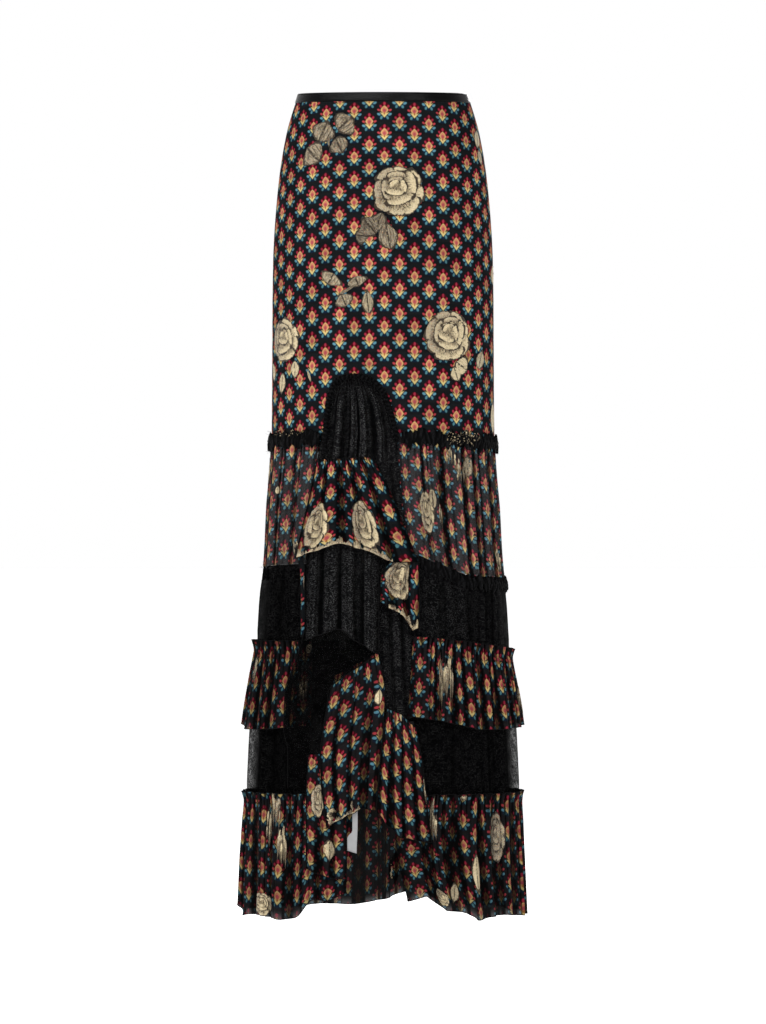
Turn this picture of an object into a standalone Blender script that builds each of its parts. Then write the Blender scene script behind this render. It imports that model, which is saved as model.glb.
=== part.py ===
"""Maxi skirt of printed crepe, chiffon and black lace, in tiers with a draped front.

The skirt keeps the hollow form that it has when it is worn. Every piece of cloth is a sheet laid
over one smooth form, moved out from it by its layer and its gathers, and given a real thickness.
Heights and distances in the tables are millimetres. The front is -Y, and Z is 0 at the waist.
"""
import math
from collections import namedtuple

import bmesh
import bpy
import numpy as np

MM = 0.001
SEAM_GAP = 0.3
COLUMNS_PER_FOLD = 4
PRINT_WALL = 1.5
LACE_WALL = 1.2
BAND_WALL = 2.0
LABEL_WALL = 1.0
KNEE_GAP = 0.5
BAND_HEIGHT = 12.0
BAND_GAP = 1.0
BAND_OUT = 0.8
WAIST_RISE = 4.0
WAIST_RISE_ENDS = 200.0

# The form under the skirt, from above the waist to below the hem.
Ring = namedtuple("Ring", "height half_width half_depth")
FORM = (
    Ring(-1160, 196.5, 162.5),
    Ring(-1145, 196.0, 162.0),
    Ring(-976, 190.5, 155.0),
    Ring(-885, 186.5, 150.0),
    Ring(-760, 175.5, 141.0),
    Ring(-690, 171.0, 136.0),
    Ring(-657, 167.0, 132.0),
    Ring(-570, 161.5, 127.0),
    Ring(-507, 157.0, 123.0),
    Ring(-470, 156.0, 121.0),
    Ring(-353, 155.0, 119.0),
    Ring(-270, 154.7, 118.0),
    Ring(-213, 153.3, 116.0),
    Ring(-157, 149.5, 113.0),
    Ring(-101, 143.5, 108.0),
    Ring(-73, 139.0, 104.0),
    Ring(-45, 133.0, 99.0),
    Ring(-17, 124.5, 92.0),
    Ring(0, 119.0, 88.0),
    Ring(10, 117.0, 86.0),
)

# The arch cut in the front panel, from its left foot over the top to its right foot.
ArchPoint = namedtuple("ArchPoint", "x height")
ARCH = (
    ArchPoint(-77.5, -471),
    ArchPoint(-76.0, -450),
    ArchPoint(-73.0, -425),
    ArchPoint(-66.0, -405),
    ArchPoint(-56.0, -396),
    ArchPoint(-43.0, -393),
    ArchPoint(-28.0, -394),
    ArchPoint(-15.0, -399),
    ArchPoint(-4.0, -409),
    ArchPoint(5.0, -424),
    ArchPoint(12.0, -449),
    ArchPoint(17.5, -471),
)
ARCH_FRILL_RADIUS = 4.0
ARCH_FRILL_OUT = 5.2
ARCH_FRILL_POINTS = 34
ARCH_FRILL_SWELL = 0.14
LEFT_FOOT = ArchPoint(-78.0, -500)
RIGHT_FOOT = ArchPoint(18.5, -485)

# The seams round the skirt, by the angle in degrees from the centre front, positive to +X.
SeamPoint = namedtuple("SeamPoint", "turn height")
HIP_SEAM = (
    SeamPoint(-92, -477),
    SeamPoint(-30, -471),
    SeamPoint(6, -471),
    SeamPoint(50, -476),
    SeamPoint(90, -480),
    SeamPoint(180, -478),
    SeamPoint(272, -477),
)
KNEE_SEAM = (
    SeamPoint(-92, -657),
    SeamPoint(-43, -651),
    SeamPoint(-10, -646),
    SeamPoint(12, -636),
    SeamPoint(27, -650),
    SeamPoint(43, -666),
    SeamPoint(62, -670),
    SeamPoint(90, -671),
    SeamPoint(180, -664),
    SeamPoint(272, -657),
)
CALF_SEAM = (
    SeamPoint(-92, -768),
    SeamPoint(-35, -766),
    SeamPoint(14, -760),
    SeamPoint(50, -771),
    SeamPoint(90, -782),
    SeamPoint(180, -774),
    SeamPoint(272, -768),
)
MIDDLE_HEIGHT = -600.0
EDGE_PASSES = 4
UPPER_ROWS = 10
UPPER_SIDE_COLUMNS = 9
UPPER_BACK_COLUMNS = 20
BAND_COLUMNS = 20

# One line across a sheet: how far down it is, how far out it lies, evenly across, and its folds.
Row = namedtuple("Row", "down outs depth")
Sheet = namedtuple("Sheet", "name cloth left right top bottom folds rows depth_across")
Cloth = namedtuple("Cloth", "wall color roughness metallic")

CLOTHS = {
    "satin": Cloth(BAND_WALL, (0.012, 0.012, 0.013), 0.35, 0.0),
    "crepe": Cloth(PRINT_WALL, (0.045, 0.030, 0.034), 0.75, 0.0),
    "chiffon": Cloth(PRINT_WALL, (0.080, 0.055, 0.055), 0.65, 0.0),
    "lace": Cloth(LACE_WALL, (0.010, 0.010, 0.010), 0.80, 0.0),
    "frill": Cloth(PRINT_WALL, (0.008, 0.008, 0.009), 0.90, 0.0),
    "label": Cloth(LABEL_WALL, (0.620, 0.610, 0.600), 0.60, 0.0),
}


def smooth(at, places, values):
    """A smooth curve through values at rising places: cubic pieces with averaged slopes."""
    places = np.asarray(places, float)
    values = np.asarray(values, float)
    slopes = np.gradient(values, places)
    at = np.clip(at, places[0], places[-1])
    i = np.clip(np.searchsorted(places, at) - 1, 0, len(places) - 2)
    span = places[i + 1] - places[i]
    t = (at - places[i]) / span
    rise = values[i + 1] - values[i]
    start = slopes[i] * span
    end = slopes[i + 1] * span
    return values[i] + t * start + t * t * (3 * rise - 2 * start - end) + t**3 * (start + end - 2 * rise)


def form(height):
    """The form's half width and half depth at a height."""
    heights = [ring.height for ring in FORM]
    half_width = smooth(height, heights, [ring.half_width for ring in FORM])
    half_depth = smooth(height, heights, [ring.half_depth for ring in FORM])
    return half_width, half_depth


def place(turn, height, out):
    """Points at an angle from the centre front and a height, moved out along the level normal.

    The waistline rises towards the back, and that rise fades out down to the hip.
    """
    half_width, half_depth = form(height)
    normal_x = half_depth * np.sin(turn)
    normal_y = -half_width * np.cos(turn)
    length = np.hypot(normal_x, normal_y)
    x = half_width * np.sin(turn) + out * normal_x / length
    y = -half_depth * np.cos(turn) + out * normal_y / length
    rise = WAIST_RISE * (1 - np.cos(turn)) * np.clip(1 + height / WAIST_RISE_ENDS, 0, 1)
    return np.stack([x, y, height + rise], axis=-1) * MM


def spaced(at, values):
    """Straight runs through values that are evenly spaced from 0 to 1."""
    return np.interp(at, np.linspace(0, 1, len(values)), values)


def side(degrees, gap):
    """A sheet's edge that runs straight down the form at an angle, a gap away from the side seam."""
    return lambda down, height: math.radians(degrees) + gap / form(height)[1]


def across(*distances):
    """A sheet's edge on the front, from distances to the centre, evenly spaced down the edge."""
    return lambda down, height: np.arcsin(spaced(down, distances) / form(height)[0])


def level(*heights):
    """A sheet's top or bottom, from heights evenly spaced across it."""
    return lambda u, turn: spaced(u, heights)


def along(seam, drop=0.0):
    """A sheet's top or bottom that follows a seam round the form, lower by a drop."""
    turns = [point.turn for point in seam]
    heights = [point.height for point in seam]
    return lambda u, turn: smooth(np.degrees(turn), turns, heights) - drop


LEFT_SEAM = side(-90, SEAM_GAP)
RIGHT_SEAM = side(90, -SEAM_GAP)
BACK_START = side(90, SEAM_GAP)
BACK_END = side(270, -SEAM_GAP)


def material(name, cloth):
    """A plain material of the cloth's colour and roughness."""
    made = bpy.data.materials.new(name)
    made.use_nodes = True
    shader = made.node_tree.nodes["Principled BSDF"]
    shader.inputs["Base Color"].default_value = (*cloth.color, 1)
    shader.inputs["Roughness"].default_value = cloth.roughness
    shader.inputs["Metallic"].default_value = cloth.metallic
    made.diffuse_color = (*cloth.color, 1)
    return made


def sheet_object(name, cloth, points):
    """A grid moved to points, rows from the bottom up, with Solidify giving the wall inwards."""
    rows, columns = points.shape[:2]
    grid = bmesh.new()
    bmesh.ops.create_grid(grid, x_segments=columns - 1, y_segments=rows - 1, size=0.5)
    for vertex in grid.verts:
        column = round((vertex.co.x + 0.5) * (columns - 1))
        row = round((vertex.co.y + 0.5) * (rows - 1))
        vertex.co = points[row, column]
    mesh = bpy.data.meshes.new(name)
    grid.to_mesh(mesh)
    grid.free()
    mesh.shade_smooth()
    mesh.materials.append(MATERIALS[cloth])
    made = bpy.data.objects.new(name, mesh)
    SKIRT.objects.link(made)
    wall = made.modifiers.new("wall", "SOLIDIFY")
    wall.thickness = CLOTHS[cloth].wall * MM
    wall.offset = -1
    wall.use_even_offset = True
    return made


def fold_places(columns):
    """How far through the gathers each column is, and where it lies across the sheet, unevenly."""
    through = np.linspace(0, 1, columns)
    shifted = through + 0.35 * np.sin(6 * math.pi * through) / (6 * math.pi)
    shifted += 0.25 * np.sin(14 * math.pi * through) / (14 * math.pi)
    return through, shifted


def fold_height(folds, through):
    """Rounded gathers from 0 to 1, some fuller than others, and none at the two ends."""
    wave = 0.5 - 0.5 * np.cos(2 * math.pi * folds * through)
    fullness = 0.76 + 0.24 * np.sin(2.4 * folds * through + folds)
    return wave * fullness


def gathered_sheet(sheet):
    """A sheet between its four edges, with gathers that follow its rows.

    The side edges need the heights and the seams need the angles, so both are worked out in turns.
    """
    through, across_it = fold_places(sheet.folds * COLUMNS_PER_FOLD + 1)
    down = np.array([row.down for row in sheet.rows])[::-1, None]
    u = np.repeat(across_it[None, :], len(down), axis=0)
    height = np.full(u.shape, MIDDLE_HEIGHT)
    for _ in range(EDGE_PASSES):
        left = sheet.left(down, height[:, :1])
        right = sheet.right(down, height[:, -1:])
        turn = left + u * (right - left)
        top = sheet.top(u, turn)
        height = top + down * (sheet.bottom(u, turn) - top)
    layer = np.stack([spaced(across_it, row.outs) for row in sheet.rows[::-1]])
    depth = np.array([row.depth for row in sheet.rows])[::-1, None]
    folds = depth * fold_height(sheet.folds, through) * spaced(u, sheet.depth_across)
    return sheet_object(sheet.name, sheet.cloth, place(turn, height, layer + folds))


EVEN = (1,)
FADE_RIGHT = (1, 1, 1, 0.6, 0.4, 0.4)
FADE_LEFT = (0.4, 0.5, 1, 1, 1, 1)
FADE_BOTH = (0, 0.15, 1, 1, 1, 1, 1, 0.15, 0)

# The black frills over the seams.
FRILL_ROWS = (Row(0, (3.6,), 2.4), Row(1, (3.6,), 2.4))
KNEE_ROWS = (Row(0, (3.6,), 2.6), Row(1, (3.4,), 2.6))
KNEE_BACK_ROWS = (Row(0, (3.6, 3.4), 2.2), Row(1, (3.4, 3.2), 2.2))

# The tiers, from the hip seam to the hem.
TIER2_ROWS = (Row(0, (0,), 0.8), Row(0.15, (0,), 2.2), Row(0.5, (0,), 3.6), Row(1, (0,), 3.0))
TIER3_ROWS = (Row(0, (0,), 0.6), Row(0.3, (0,), 2.2), Row(0.8, (0,), 2.6), Row(1, (0,), 0.5))
TIER4_ROWS = (
    Row(0, (5.0,), 1.6),
    Row(0.12, (2.9,), 0.9),
    Row(0.40, (4.5,), 4.0),
    Row(0.70, (6.0,), 5.4),
    Row(1, (7.5,), 6.2),
)
TIER5_ROWS = (Row(0, (0,), 0.5), Row(0.5, (0,), 1.8), Row(0.9, (0,), 2.2), Row(1, (0,), 0.4))
TIER6_ROWS = (
    Row(0, (4.5,), 1.6),
    Row(0.08, (2.8,), 1.2),
    Row(0.25, (2.0,), 4.4),
    Row(0.55, (1.0,), 7.0),
    Row(1, (0.0,), 8.6),
)
TIER6_LEFT_ROWS = (
    Row(0, (4.5, 1.8), 1.6),
    Row(0.08, (2.8, 1.8), 1.2),
    Row(0.25, (2.0, 1.4), 4.4),
    Row(0.55, (1.0, 0.6), 7.0),
    Row(1, (0.0,), 8.6),
)

SHEETS = (
    Sheet("seam_frill_left", "frill", LEFT_SEAM, across(-86), along(HIP_SEAM, -4),
          along(HIP_SEAM, 17), 5, FRILL_ROWS, EVEN),
    Sheet("seam_frill_right", "frill", across(25), RIGHT_SEAM, along(HIP_SEAM, -5),
          along(HIP_SEAM, 16), 6, FRILL_ROWS, EVEN),
    Sheet("seam_frill_back", "frill", BACK_START, BACK_END, along(HIP_SEAM, -4.5),
          along(HIP_SEAM, 17), 12, FRILL_ROWS, EVEN),
    Sheet("tier2_left", "chiffon", LEFT_SEAM, across(-88, -97, -104), along(HIP_SEAM, SEAM_GAP),
          along(KNEE_SEAM), 4, TIER2_ROWS, FADE_RIGHT),
    Sheet("tier2_right", "chiffon", across(19.5, 24, 34), RIGHT_SEAM, along(HIP_SEAM, SEAM_GAP),
          along(KNEE_SEAM), 7, TIER2_ROWS, FADE_LEFT),
    Sheet("tier2_back", "chiffon", BACK_START, BACK_END, along(HIP_SEAM, SEAM_GAP),
          along(KNEE_SEAM), 13, TIER2_ROWS, EVEN),
    Sheet("knee_frill_right", "frill", across(50, 51), RIGHT_SEAM, along(KNEE_SEAM, 1),
          along(KNEE_SEAM, 18), 5, KNEE_ROWS, EVEN),
    Sheet("knee_frill_back", "frill", BACK_START, BACK_END, along(KNEE_SEAM, 1),
          along(KNEE_SEAM, 16), 10, KNEE_BACK_ROWS, (1, 1, 1, 0.2)),
    Sheet("tier3_left", "lace", LEFT_SEAM, across(-103), along(KNEE_SEAM, KNEE_GAP),
          along(CALF_SEAM), 3, TIER3_ROWS, FADE_RIGHT),
    Sheet("tier3_right", "lace", across(41), RIGHT_SEAM, along(KNEE_SEAM, KNEE_GAP),
          along(CALF_SEAM), 5, TIER3_ROWS, FADE_LEFT),
    Sheet("tier3_back", "lace", BACK_START, BACK_END, along(KNEE_SEAM, KNEE_GAP),
          along(CALF_SEAM), 11, TIER3_ROWS, EVEN),
    Sheet("tier4_left", "chiffon", LEFT_SEAM, across(-96), along(CALF_SEAM, -9),
          level(-868, -882, -881, -878, -874), 5, TIER4_ROWS, (1, 1, 1, 0.5, 0.2)),
    Sheet("tier4_right", "chiffon", across(41, 37, 33), RIGHT_SEAM, along(CALF_SEAM, -9),
          level(-860, -868, -880, -881, -879, -874), 7, TIER4_ROWS, FADE_LEFT),
    Sheet("tier4_back", "chiffon", BACK_START, BACK_END, along(CALF_SEAM, -9),
          level(-874, -881, -878, -882, -879, -868), 14, TIER4_ROWS, EVEN),
    Sheet("tier5_left", "lace", LEFT_SEAM, across(-100), along(CALF_SEAM, SEAM_GAP),
          level(-980), 3, TIER5_ROWS, (1, 1, 0)),
    Sheet("tier5_right", "lace", across(42), RIGHT_SEAM, along(CALF_SEAM, SEAM_GAP),
          level(-980), 4, TIER5_ROWS, FADE_LEFT),
    Sheet("tier5_back", "lace", BACK_START, BACK_END, along(CALF_SEAM, SEAM_GAP),
          level(-980), 9, TIER5_ROWS, EVEN),
    Sheet("tier6_left", "chiffon", LEFT_SEAM, across(-50), level(-970, -968),
          level(-1123, -1127, -1141, -1138, -1137, -1139, -1142, -1138, -1112, -1114, -1102),
          6, TIER6_LEFT_ROWS, FADE_RIGHT),
    Sheet("tier6_right", "chiffon", across(20, 16, 22, 34), RIGHT_SEAM, level(-968, -970),
          level(-1114, -1106, -1127, -1130, -1143, -1137, -1137, -1139, -1141, -1140, -1140),
          7, TIER6_ROWS, FADE_LEFT),
    Sheet("tier6_back", "chiffon", BACK_START, BACK_END, level(-970),
          level(-1140, -1138, -1141, -1137, -1140, -1136, -1118, -1134, -1141, -1138, -1142,
                -1138, -1140, -1134, -1123), 14, TIER6_ROWS, EVEN),
    Sheet("arch_lace", "lace", across(-64, -80, -84, -90), across(-18, 13, 24, 26),
          level(-388), level(-513), 6,
          (Row(0, (-2.2,), 0), Row(0.12, (-2.2,), 0), Row(0.4, (-2.0,), 4.0),
           Row(0.8, (-2.0,), 4.0), Row(1, (-2.2,), 2.4)), FADE_BOTH),
    Sheet("long_lace", "lace", across(-24, -12, -10, -2), across(26, 42, 46, 50),
          level(-513 - SEAM_GAP), level(-868, -862), 3,
          (Row(0, (-2.2,), 0.8), Row(0.3, (-2.6,), 2.0), Row(0.7, (-2.6,), 2.0),
           Row(1, (-2.6,), 1.0)), FADE_BOTH),
    Sheet("front_ruffle", "crepe", across(-90, -97, -106, -115), across(-15, 5, 20, 33, 47),
          level(-508, -504), level(-644, -634, -623, -633, -649, -649), 5,
          (Row(0, (2.7,), 1.0), Row(0.12, (4.6,), 3.0), Row(0.3, (7.0,), 4.0),
           Row(0.7, (9.5,), 5.0), Row(1, (11.5,), 5.5)), EVEN),
    Sheet("right_tail", "crepe", across(12, -3, -4, -4), across(47, 48, 48),
          level(-649 - SEAM_GAP), level(-704, -710, -717, -722, -744, -739), 3,
          (Row(0, (11.5,), 0.3), Row(0.4, (9.0,), 4.5), Row(1, (8.0,), 5.0)), EVEN),
    Sheet("left_tail", "crepe", across(-111, -110, -111), across(-104.5),
          level(-643.4, -641.2), level(-752, -750), 1,
          (Row(0, (11.5,), 0), Row(0.15, (7.0,), 0.5), Row(1, (4.8,), 1.0)), EVEN),
    Sheet("lace_cascade", "lace", across(-103), across(-5.6), level(-612),
          level(-757, -748, -740, -759, -776), 4,
          (Row(0, (3.0,), 1.5), Row(0.25, (4.8,), 3.0), Row(0.6, (8.5,), 4.0),
           Row(1, (10.8,), 5.0)), EVEN),
    Sheet("lace_veil", "lace", across(-100, -112, -129, -129, -129, -129),
          across(-8, -8, -73, -78, -78, -78), level(-728), level(-961), 3,
          (Row(0, (7.8,), 0), Row(0.2, (8.0, 8.2), 0.3), Row(0.34, (8.9, 8.5, 8.2), 0.3),
           Row(0.4, (9.9, 9.4, 8.8, 7.4, 6.0), 0), Row(0.5, (11.4, 11.0, 10.2, 6.5, 3.6), 0),
           Row(0.62, (12.9, 12.6, 12.0, 7.5, 3.6), 0), Row(0.67, (12.9, 12.6, 12.0, 7.5, 3.6), 0),
           Row(0.76, (3.6,), 0), Row(1, (3.6,), 0)), EVEN),
    Sheet("print_cascade_left", "chiffon", across(-66, -77, -83, -81, -74),
          across(-7, 3.5, 0.3, -5, -9.5), level(-805, -795, -783, -770),
          level(-1013, -1003, -994, -986, -989), 4,
          (Row(0, (4.6,), 0), Row(0.2, (5.2,), 0.5), Row(0.5, (9.6, 8.5), 2.5),
           Row(0.8, (10.0, 9.0), 4.0), Row(1, (10.0, 9.0), 4.5)), EVEN),
    Sheet("print_cascade_right", "chiffon", across(5, 1, -3.4, -6, -8.8),
          across(44, 51.5, 55.5, 59.5, 64), level(-849, -857.5, -877),
          level(-991, -1009, -1025, -1028, -1031, -1033), 4,
          (Row(0, (5.5,), 0), Row(0.2, (6.5, 7.0), 1.5), Row(0.6, (8.4,), 3.0),
           Row(1, (9.5,), 4.5)), EVEN),
    Sheet("print_cascade_under", "chiffon", across(-100, -103, -103, -103),
          across(-55, -50, -48.5, -48.5), level(-914, -910), level(-1069, -1077, -1082, -1083), 3,
          (Row(0, (5.6,), 0), Row(0.6, (5.8,), 1.2), Row(1, (6.5,), 4.5)), EVEN),
    Sheet("care_label", "label", across(-41, -41, -41, -48, -48, -47.5), across(-34, -34, -35.5),
          level(-980), level(-1044, -1048), 1,
          (Row(0, (5.6,), 0), Row(0.4, (5.6,), 0), Row(0.6, (5.6,), 0), Row(1, (5.6,), 0)), EVEN),
)


def smooth_piece(name, cloth, turns, tops, bottoms, rows, out):
    """A piece with no gathers, from the angles of its columns and each column's two ends."""
    down = np.linspace(1, 0, rows)[:, None]
    height = tops + down * (bottoms - tops)
    return sheet_object(name, cloth, place(turns + 0 * height, height, out))


def waistband(name, turns):
    """One half of the waistband, from the waist down."""
    top = np.zeros(len(turns))
    return smooth_piece(name, "satin", turns, top, top - BAND_HEIGHT, 2, BAND_OUT)


def upper_panel(name, turns, edge):
    """A hip panel from under the waistband to its lower edge."""
    top = np.full(len(turns), -BAND_HEIGHT - BAND_GAP)
    return smooth_piece(name, "crepe", turns, top, edge, UPPER_ROWS, 0.0)


def between(start, end, columns):
    """Angles in radians between two sheet edges as they are at the waist."""
    return np.linspace(start(0, 0.0), end(0, 0.0), columns)


def upper_front():
    """The front hip panel, whose lower edge rises into the arch."""
    foot_height = ARCH[0].height
    arch_turns = np.arcsin(np.array([point.x for point in ARCH]) / form(foot_height)[0])
    left = between(LEFT_SEAM, lambda down, height: arch_turns[0], UPPER_SIDE_COLUMNS)[:-1]
    right = between(lambda down, height: arch_turns[-1], RIGHT_SEAM, UPPER_SIDE_COLUMNS + 2)[1:]
    seam_edge = along(HIP_SEAM)
    arch_edge = [point.height for point in ARCH]
    edge = np.concatenate([seam_edge(0, left), arch_edge, seam_edge(0, right)])
    return upper_panel("upper_front", np.concatenate([left, arch_turns, right]), edge)


def upper_back():
    """The back hip panel, whose lower edge follows the hip seam."""
    turns = between(BACK_START, BACK_END, UPPER_BACK_COLUMNS)
    return upper_panel("upper_back", turns, along(HIP_SEAM)(0, turns))


def arch_frill():
    """The ruched frill round the arch: a tube along the arch's edge, fuller and thinner by turns."""
    path = (LEFT_FOOT, *ARCH, RIGHT_FOOT)
    steps = np.arange(len(path))
    at = np.linspace(0, len(path) - 1, ARCH_FRILL_POINTS)
    x = smooth(at, steps, [point.x for point in path])
    height = smooth(at, steps, [point.height for point in path])
    turn = np.arcsin(x / form(height)[0])
    points = place(turn, height, ARCH_FRILL_OUT)
    curve = bpy.data.curves.new("arch_frill", "CURVE")
    curve.dimensions = "3D"
    curve.bevel_depth = ARCH_FRILL_RADIUS * MM
    curve.bevel_resolution = 2
    curve.use_fill_caps = True
    line = curve.splines.new("POLY")
    line.points.add(len(points) - 1)
    for i, point in enumerate(points):
        line.points[i].co = (*point, 1)
        line.points[i].radius = 1 + ARCH_FRILL_SWELL * math.sin(2.3 * i)
    curve.materials.append(MATERIALS["frill"])
    made = bpy.data.objects.new("arch_frill", curve)
    SKIRT.objects.link(made)
    return made


for old in list(bpy.data.objects):
    bpy.data.objects.remove(old, do_unlink=True)
SKIRT = bpy.data.collections.new("maxi_skirt")
bpy.context.scene.collection.children.link(SKIRT)
MATERIALS = {name: material(name, cloth) for name, cloth in CLOTHS.items()}

waistband("waistband_front", between(LEFT_SEAM, RIGHT_SEAM, BAND_COLUMNS))
waistband("waistband_back", between(BACK_START, BACK_END, BAND_COLUMNS))
upper_front()
upper_back()
arch_frill()
for one in SHEETS:
    gathered_sheet(one)
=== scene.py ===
"""The looks of a tiered maxi skirt: cloth, prints, lace, ruched edges, woven flowers and studio.

Every sheet of cloth lies on the same smooth form as its solid. Lengths in the tables are
millimetres, the front is -Y, and Z is 0 at the waist.
"""
import math
from collections import namedtuple

import bpy
import numpy as np
from bpy.props import FloatProperty, FloatVectorProperty, PointerProperty
from bpy.types import Operator, Panel, PropertyGroup
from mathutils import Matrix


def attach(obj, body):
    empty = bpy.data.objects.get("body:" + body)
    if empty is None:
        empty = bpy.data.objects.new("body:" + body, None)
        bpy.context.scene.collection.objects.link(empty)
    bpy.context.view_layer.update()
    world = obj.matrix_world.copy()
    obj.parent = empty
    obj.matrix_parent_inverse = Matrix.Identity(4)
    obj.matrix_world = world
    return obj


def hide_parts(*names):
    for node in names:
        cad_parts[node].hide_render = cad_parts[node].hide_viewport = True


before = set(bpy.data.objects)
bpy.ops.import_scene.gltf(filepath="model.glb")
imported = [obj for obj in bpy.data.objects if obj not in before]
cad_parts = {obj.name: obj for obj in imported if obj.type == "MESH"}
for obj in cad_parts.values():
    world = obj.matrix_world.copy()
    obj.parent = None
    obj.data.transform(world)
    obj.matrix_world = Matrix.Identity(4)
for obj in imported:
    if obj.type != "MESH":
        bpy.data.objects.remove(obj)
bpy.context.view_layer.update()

bl_info = {
    "name": "Tiered maxi skirt",
    "version": (1, 0, 0),
    "blender": (4, 5, 0),
    "location": "3D View > Sidebar > Skirt",
    "description": "Builds the cloth, lace, frills and woven flowers of a worn maxi skirt",
    "category": "Object",
}

MM = 0.001
TAU = 2 * math.pi


# The form under the skirt


Ring = namedtuple("Ring", "height half_width half_depth")
FORM = (
    Ring(-1160, 196.5, 162.5),
    Ring(-1145, 196.0, 162.0),
    Ring(-976, 190.5, 155.0),
    Ring(-885, 186.5, 150.0),
    Ring(-760, 175.5, 141.0),
    Ring(-690, 171.0, 136.0),
    Ring(-657, 167.0, 132.0),
    Ring(-570, 161.5, 127.0),
    Ring(-507, 157.0, 123.0),
    Ring(-470, 156.0, 121.0),
    Ring(-353, 155.0, 119.0),
    Ring(-270, 154.7, 118.0),
    Ring(-213, 153.3, 116.0),
    Ring(-157, 149.5, 113.0),
    Ring(-101, 143.5, 108.0),
    Ring(-73, 139.0, 104.0),
    Ring(-45, 133.0, 99.0),
    Ring(-17, 124.5, 92.0),
    Ring(0, 119.0, 88.0),
    Ring(10, 117.0, 86.0),
)
WAIST_RISE = 4.0
WAIST_RISE_ENDS = 200.0
BAND_HEIGHT = 12.0
BAND_OUT = 0.8
SEAM_GAP = 0.3
KNEE_GAP = 0.5
MIDDLE_HEIGHT = -600.0
EDGE_PASSES = 4

# The arch cut in the front panel, from its left foot over the top to its right foot.
ArchPoint = namedtuple("ArchPoint", "x height")
ARCH = (
    ArchPoint(-77.5, -471),
    ArchPoint(-76.0, -450),
    ArchPoint(-73.0, -425),
    ArchPoint(-66.0, -405),
    ArchPoint(-56.0, -396),
    ArchPoint(-43.0, -393),
    ArchPoint(-28.0, -394),
    ArchPoint(-15.0, -399),
    ArchPoint(-4.0, -409),
    ArchPoint(5.0, -424),
    ArchPoint(12.0, -449),
    ArchPoint(17.5, -471),
)
LEFT_FOOT = ArchPoint(-78.0, -500)
RIGHT_FOOT = ArchPoint(18.5, -485)

# The seams round the skirt, by the angle in degrees from the centre front, positive to +X.
SeamPoint = namedtuple("SeamPoint", "turn height")
HIP_SEAM = (
    SeamPoint(-92, -477),
    SeamPoint(-30, -471),
    SeamPoint(6, -471),
    SeamPoint(50, -476),
    SeamPoint(90, -480),
    SeamPoint(180, -478),
    SeamPoint(272, -477),
)
KNEE_SEAM = (
    SeamPoint(-92, -657),
    SeamPoint(-43, -651),
    SeamPoint(-10, -646),
    SeamPoint(12, -636),
    SeamPoint(27, -650),
    SeamPoint(43, -666),
    SeamPoint(62, -670),
    SeamPoint(90, -671),
    SeamPoint(180, -664),
    SeamPoint(272, -657),
)
CALF_SEAM = (
    SeamPoint(-92, -768),
    SeamPoint(-35, -766),
    SeamPoint(14, -760),
    SeamPoint(50, -771),
    SeamPoint(90, -782),
    SeamPoint(180, -774),
    SeamPoint(272, -768),
)


def smooth(at, places, values):
    """A smooth curve through values at rising places: cubic pieces with averaged slopes."""
    places = np.asarray(places, float)
    values = np.asarray(values, float)
    slopes = np.gradient(values, places)
    at = np.clip(at, places[0], places[-1])
    i = np.clip(np.searchsorted(places, at) - 1, 0, len(places) - 2)
    span = places[i + 1] - places[i]
    t = (at - places[i]) / span
    rise = values[i + 1] - values[i]
    start = slopes[i] * span
    end = slopes[i + 1] * span
    square = 3 * rise - 2 * start - end
    cube = start + end - 2 * rise
    return values[i] + t * start + t * t * square + t**3 * cube


def form(height):
    """The form's half width and half depth at a height."""
    heights = [ring.height for ring in FORM]
    half_width = smooth(height, heights, [ring.half_width for ring in FORM])
    half_depth = smooth(height, heights, [ring.half_depth for ring in FORM])
    return half_width, half_depth


def place(turn, height, out):
    """Points on the form, an ellipse at each height, moved out along the level normal.

    x is half width times sin(turn), y is minus half depth times cos(turn), and the waistline
    rises towards the back by an amount that fades out down to the hip.
    """
    half_width, half_depth = form(height)
    normal_x = half_depth * np.sin(turn)
    normal_y = -half_width * np.cos(turn)
    length = np.hypot(normal_x, normal_y)
    x = half_width * np.sin(turn) + out * normal_x / length
    y = -half_depth * np.cos(turn) + out * normal_y / length
    rise = WAIST_RISE * (1 - np.cos(turn)) * np.clip(1 + height / WAIST_RISE_ENDS, 0, 1)
    return np.stack([x, y, height + rise], axis=-1)


def spaced(at, values):
    """Straight runs through evenly spaced values, with their corners eased."""
    stops = np.linspace(0, 1, len(values))
    ease = 0.12 / max(len(values) - 1, 1)
    runs = [np.interp(at + step * ease, stops, values) for step in (-1, 0, 1)]
    return sum(runs) / 3


def side(degrees):
    """A sheet's edge that runs straight down the form at an angle."""
    return lambda down, height: math.radians(degrees) + 0 * height


def across(*distances):
    """A sheet's edge on the front, from distances to the centre, evenly spaced down the edge."""
    return lambda down, height: np.arcsin(spaced(down, distances) / form(height)[0])


def level(*heights):
    """A sheet's top or bottom, from heights evenly spaced across it."""
    return lambda u, turn: spaced(u, heights)


def along(seam, drop=0.0):
    """A sheet's top or bottom that follows a seam round the form, lower by a drop."""
    turns = [point.turn for point in seam]
    heights = [point.height for point in seam]
    return lambda u, turn: smooth(np.degrees(turn), turns, heights) - drop


LEFT_SEAM = side(-90)
RIGHT_SEAM = side(90)
BACK_END = side(270)


# The sheets


Row = namedtuple("Row", "down outs depth")
Sheet = namedtuple("Sheet", "name cloth left right top bottom folds rows depth_across")

EVEN = (1,)
FADE_RIGHT = (1, 1, 1, 0.6, 0.4, 0.4)
FADE_LEFT = (0.4, 0.5, 1, 1, 1, 1)
FADE_BOTH = (0, 0.15, 1, 1, 1, 1, 1, 0.15, 0)

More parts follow.
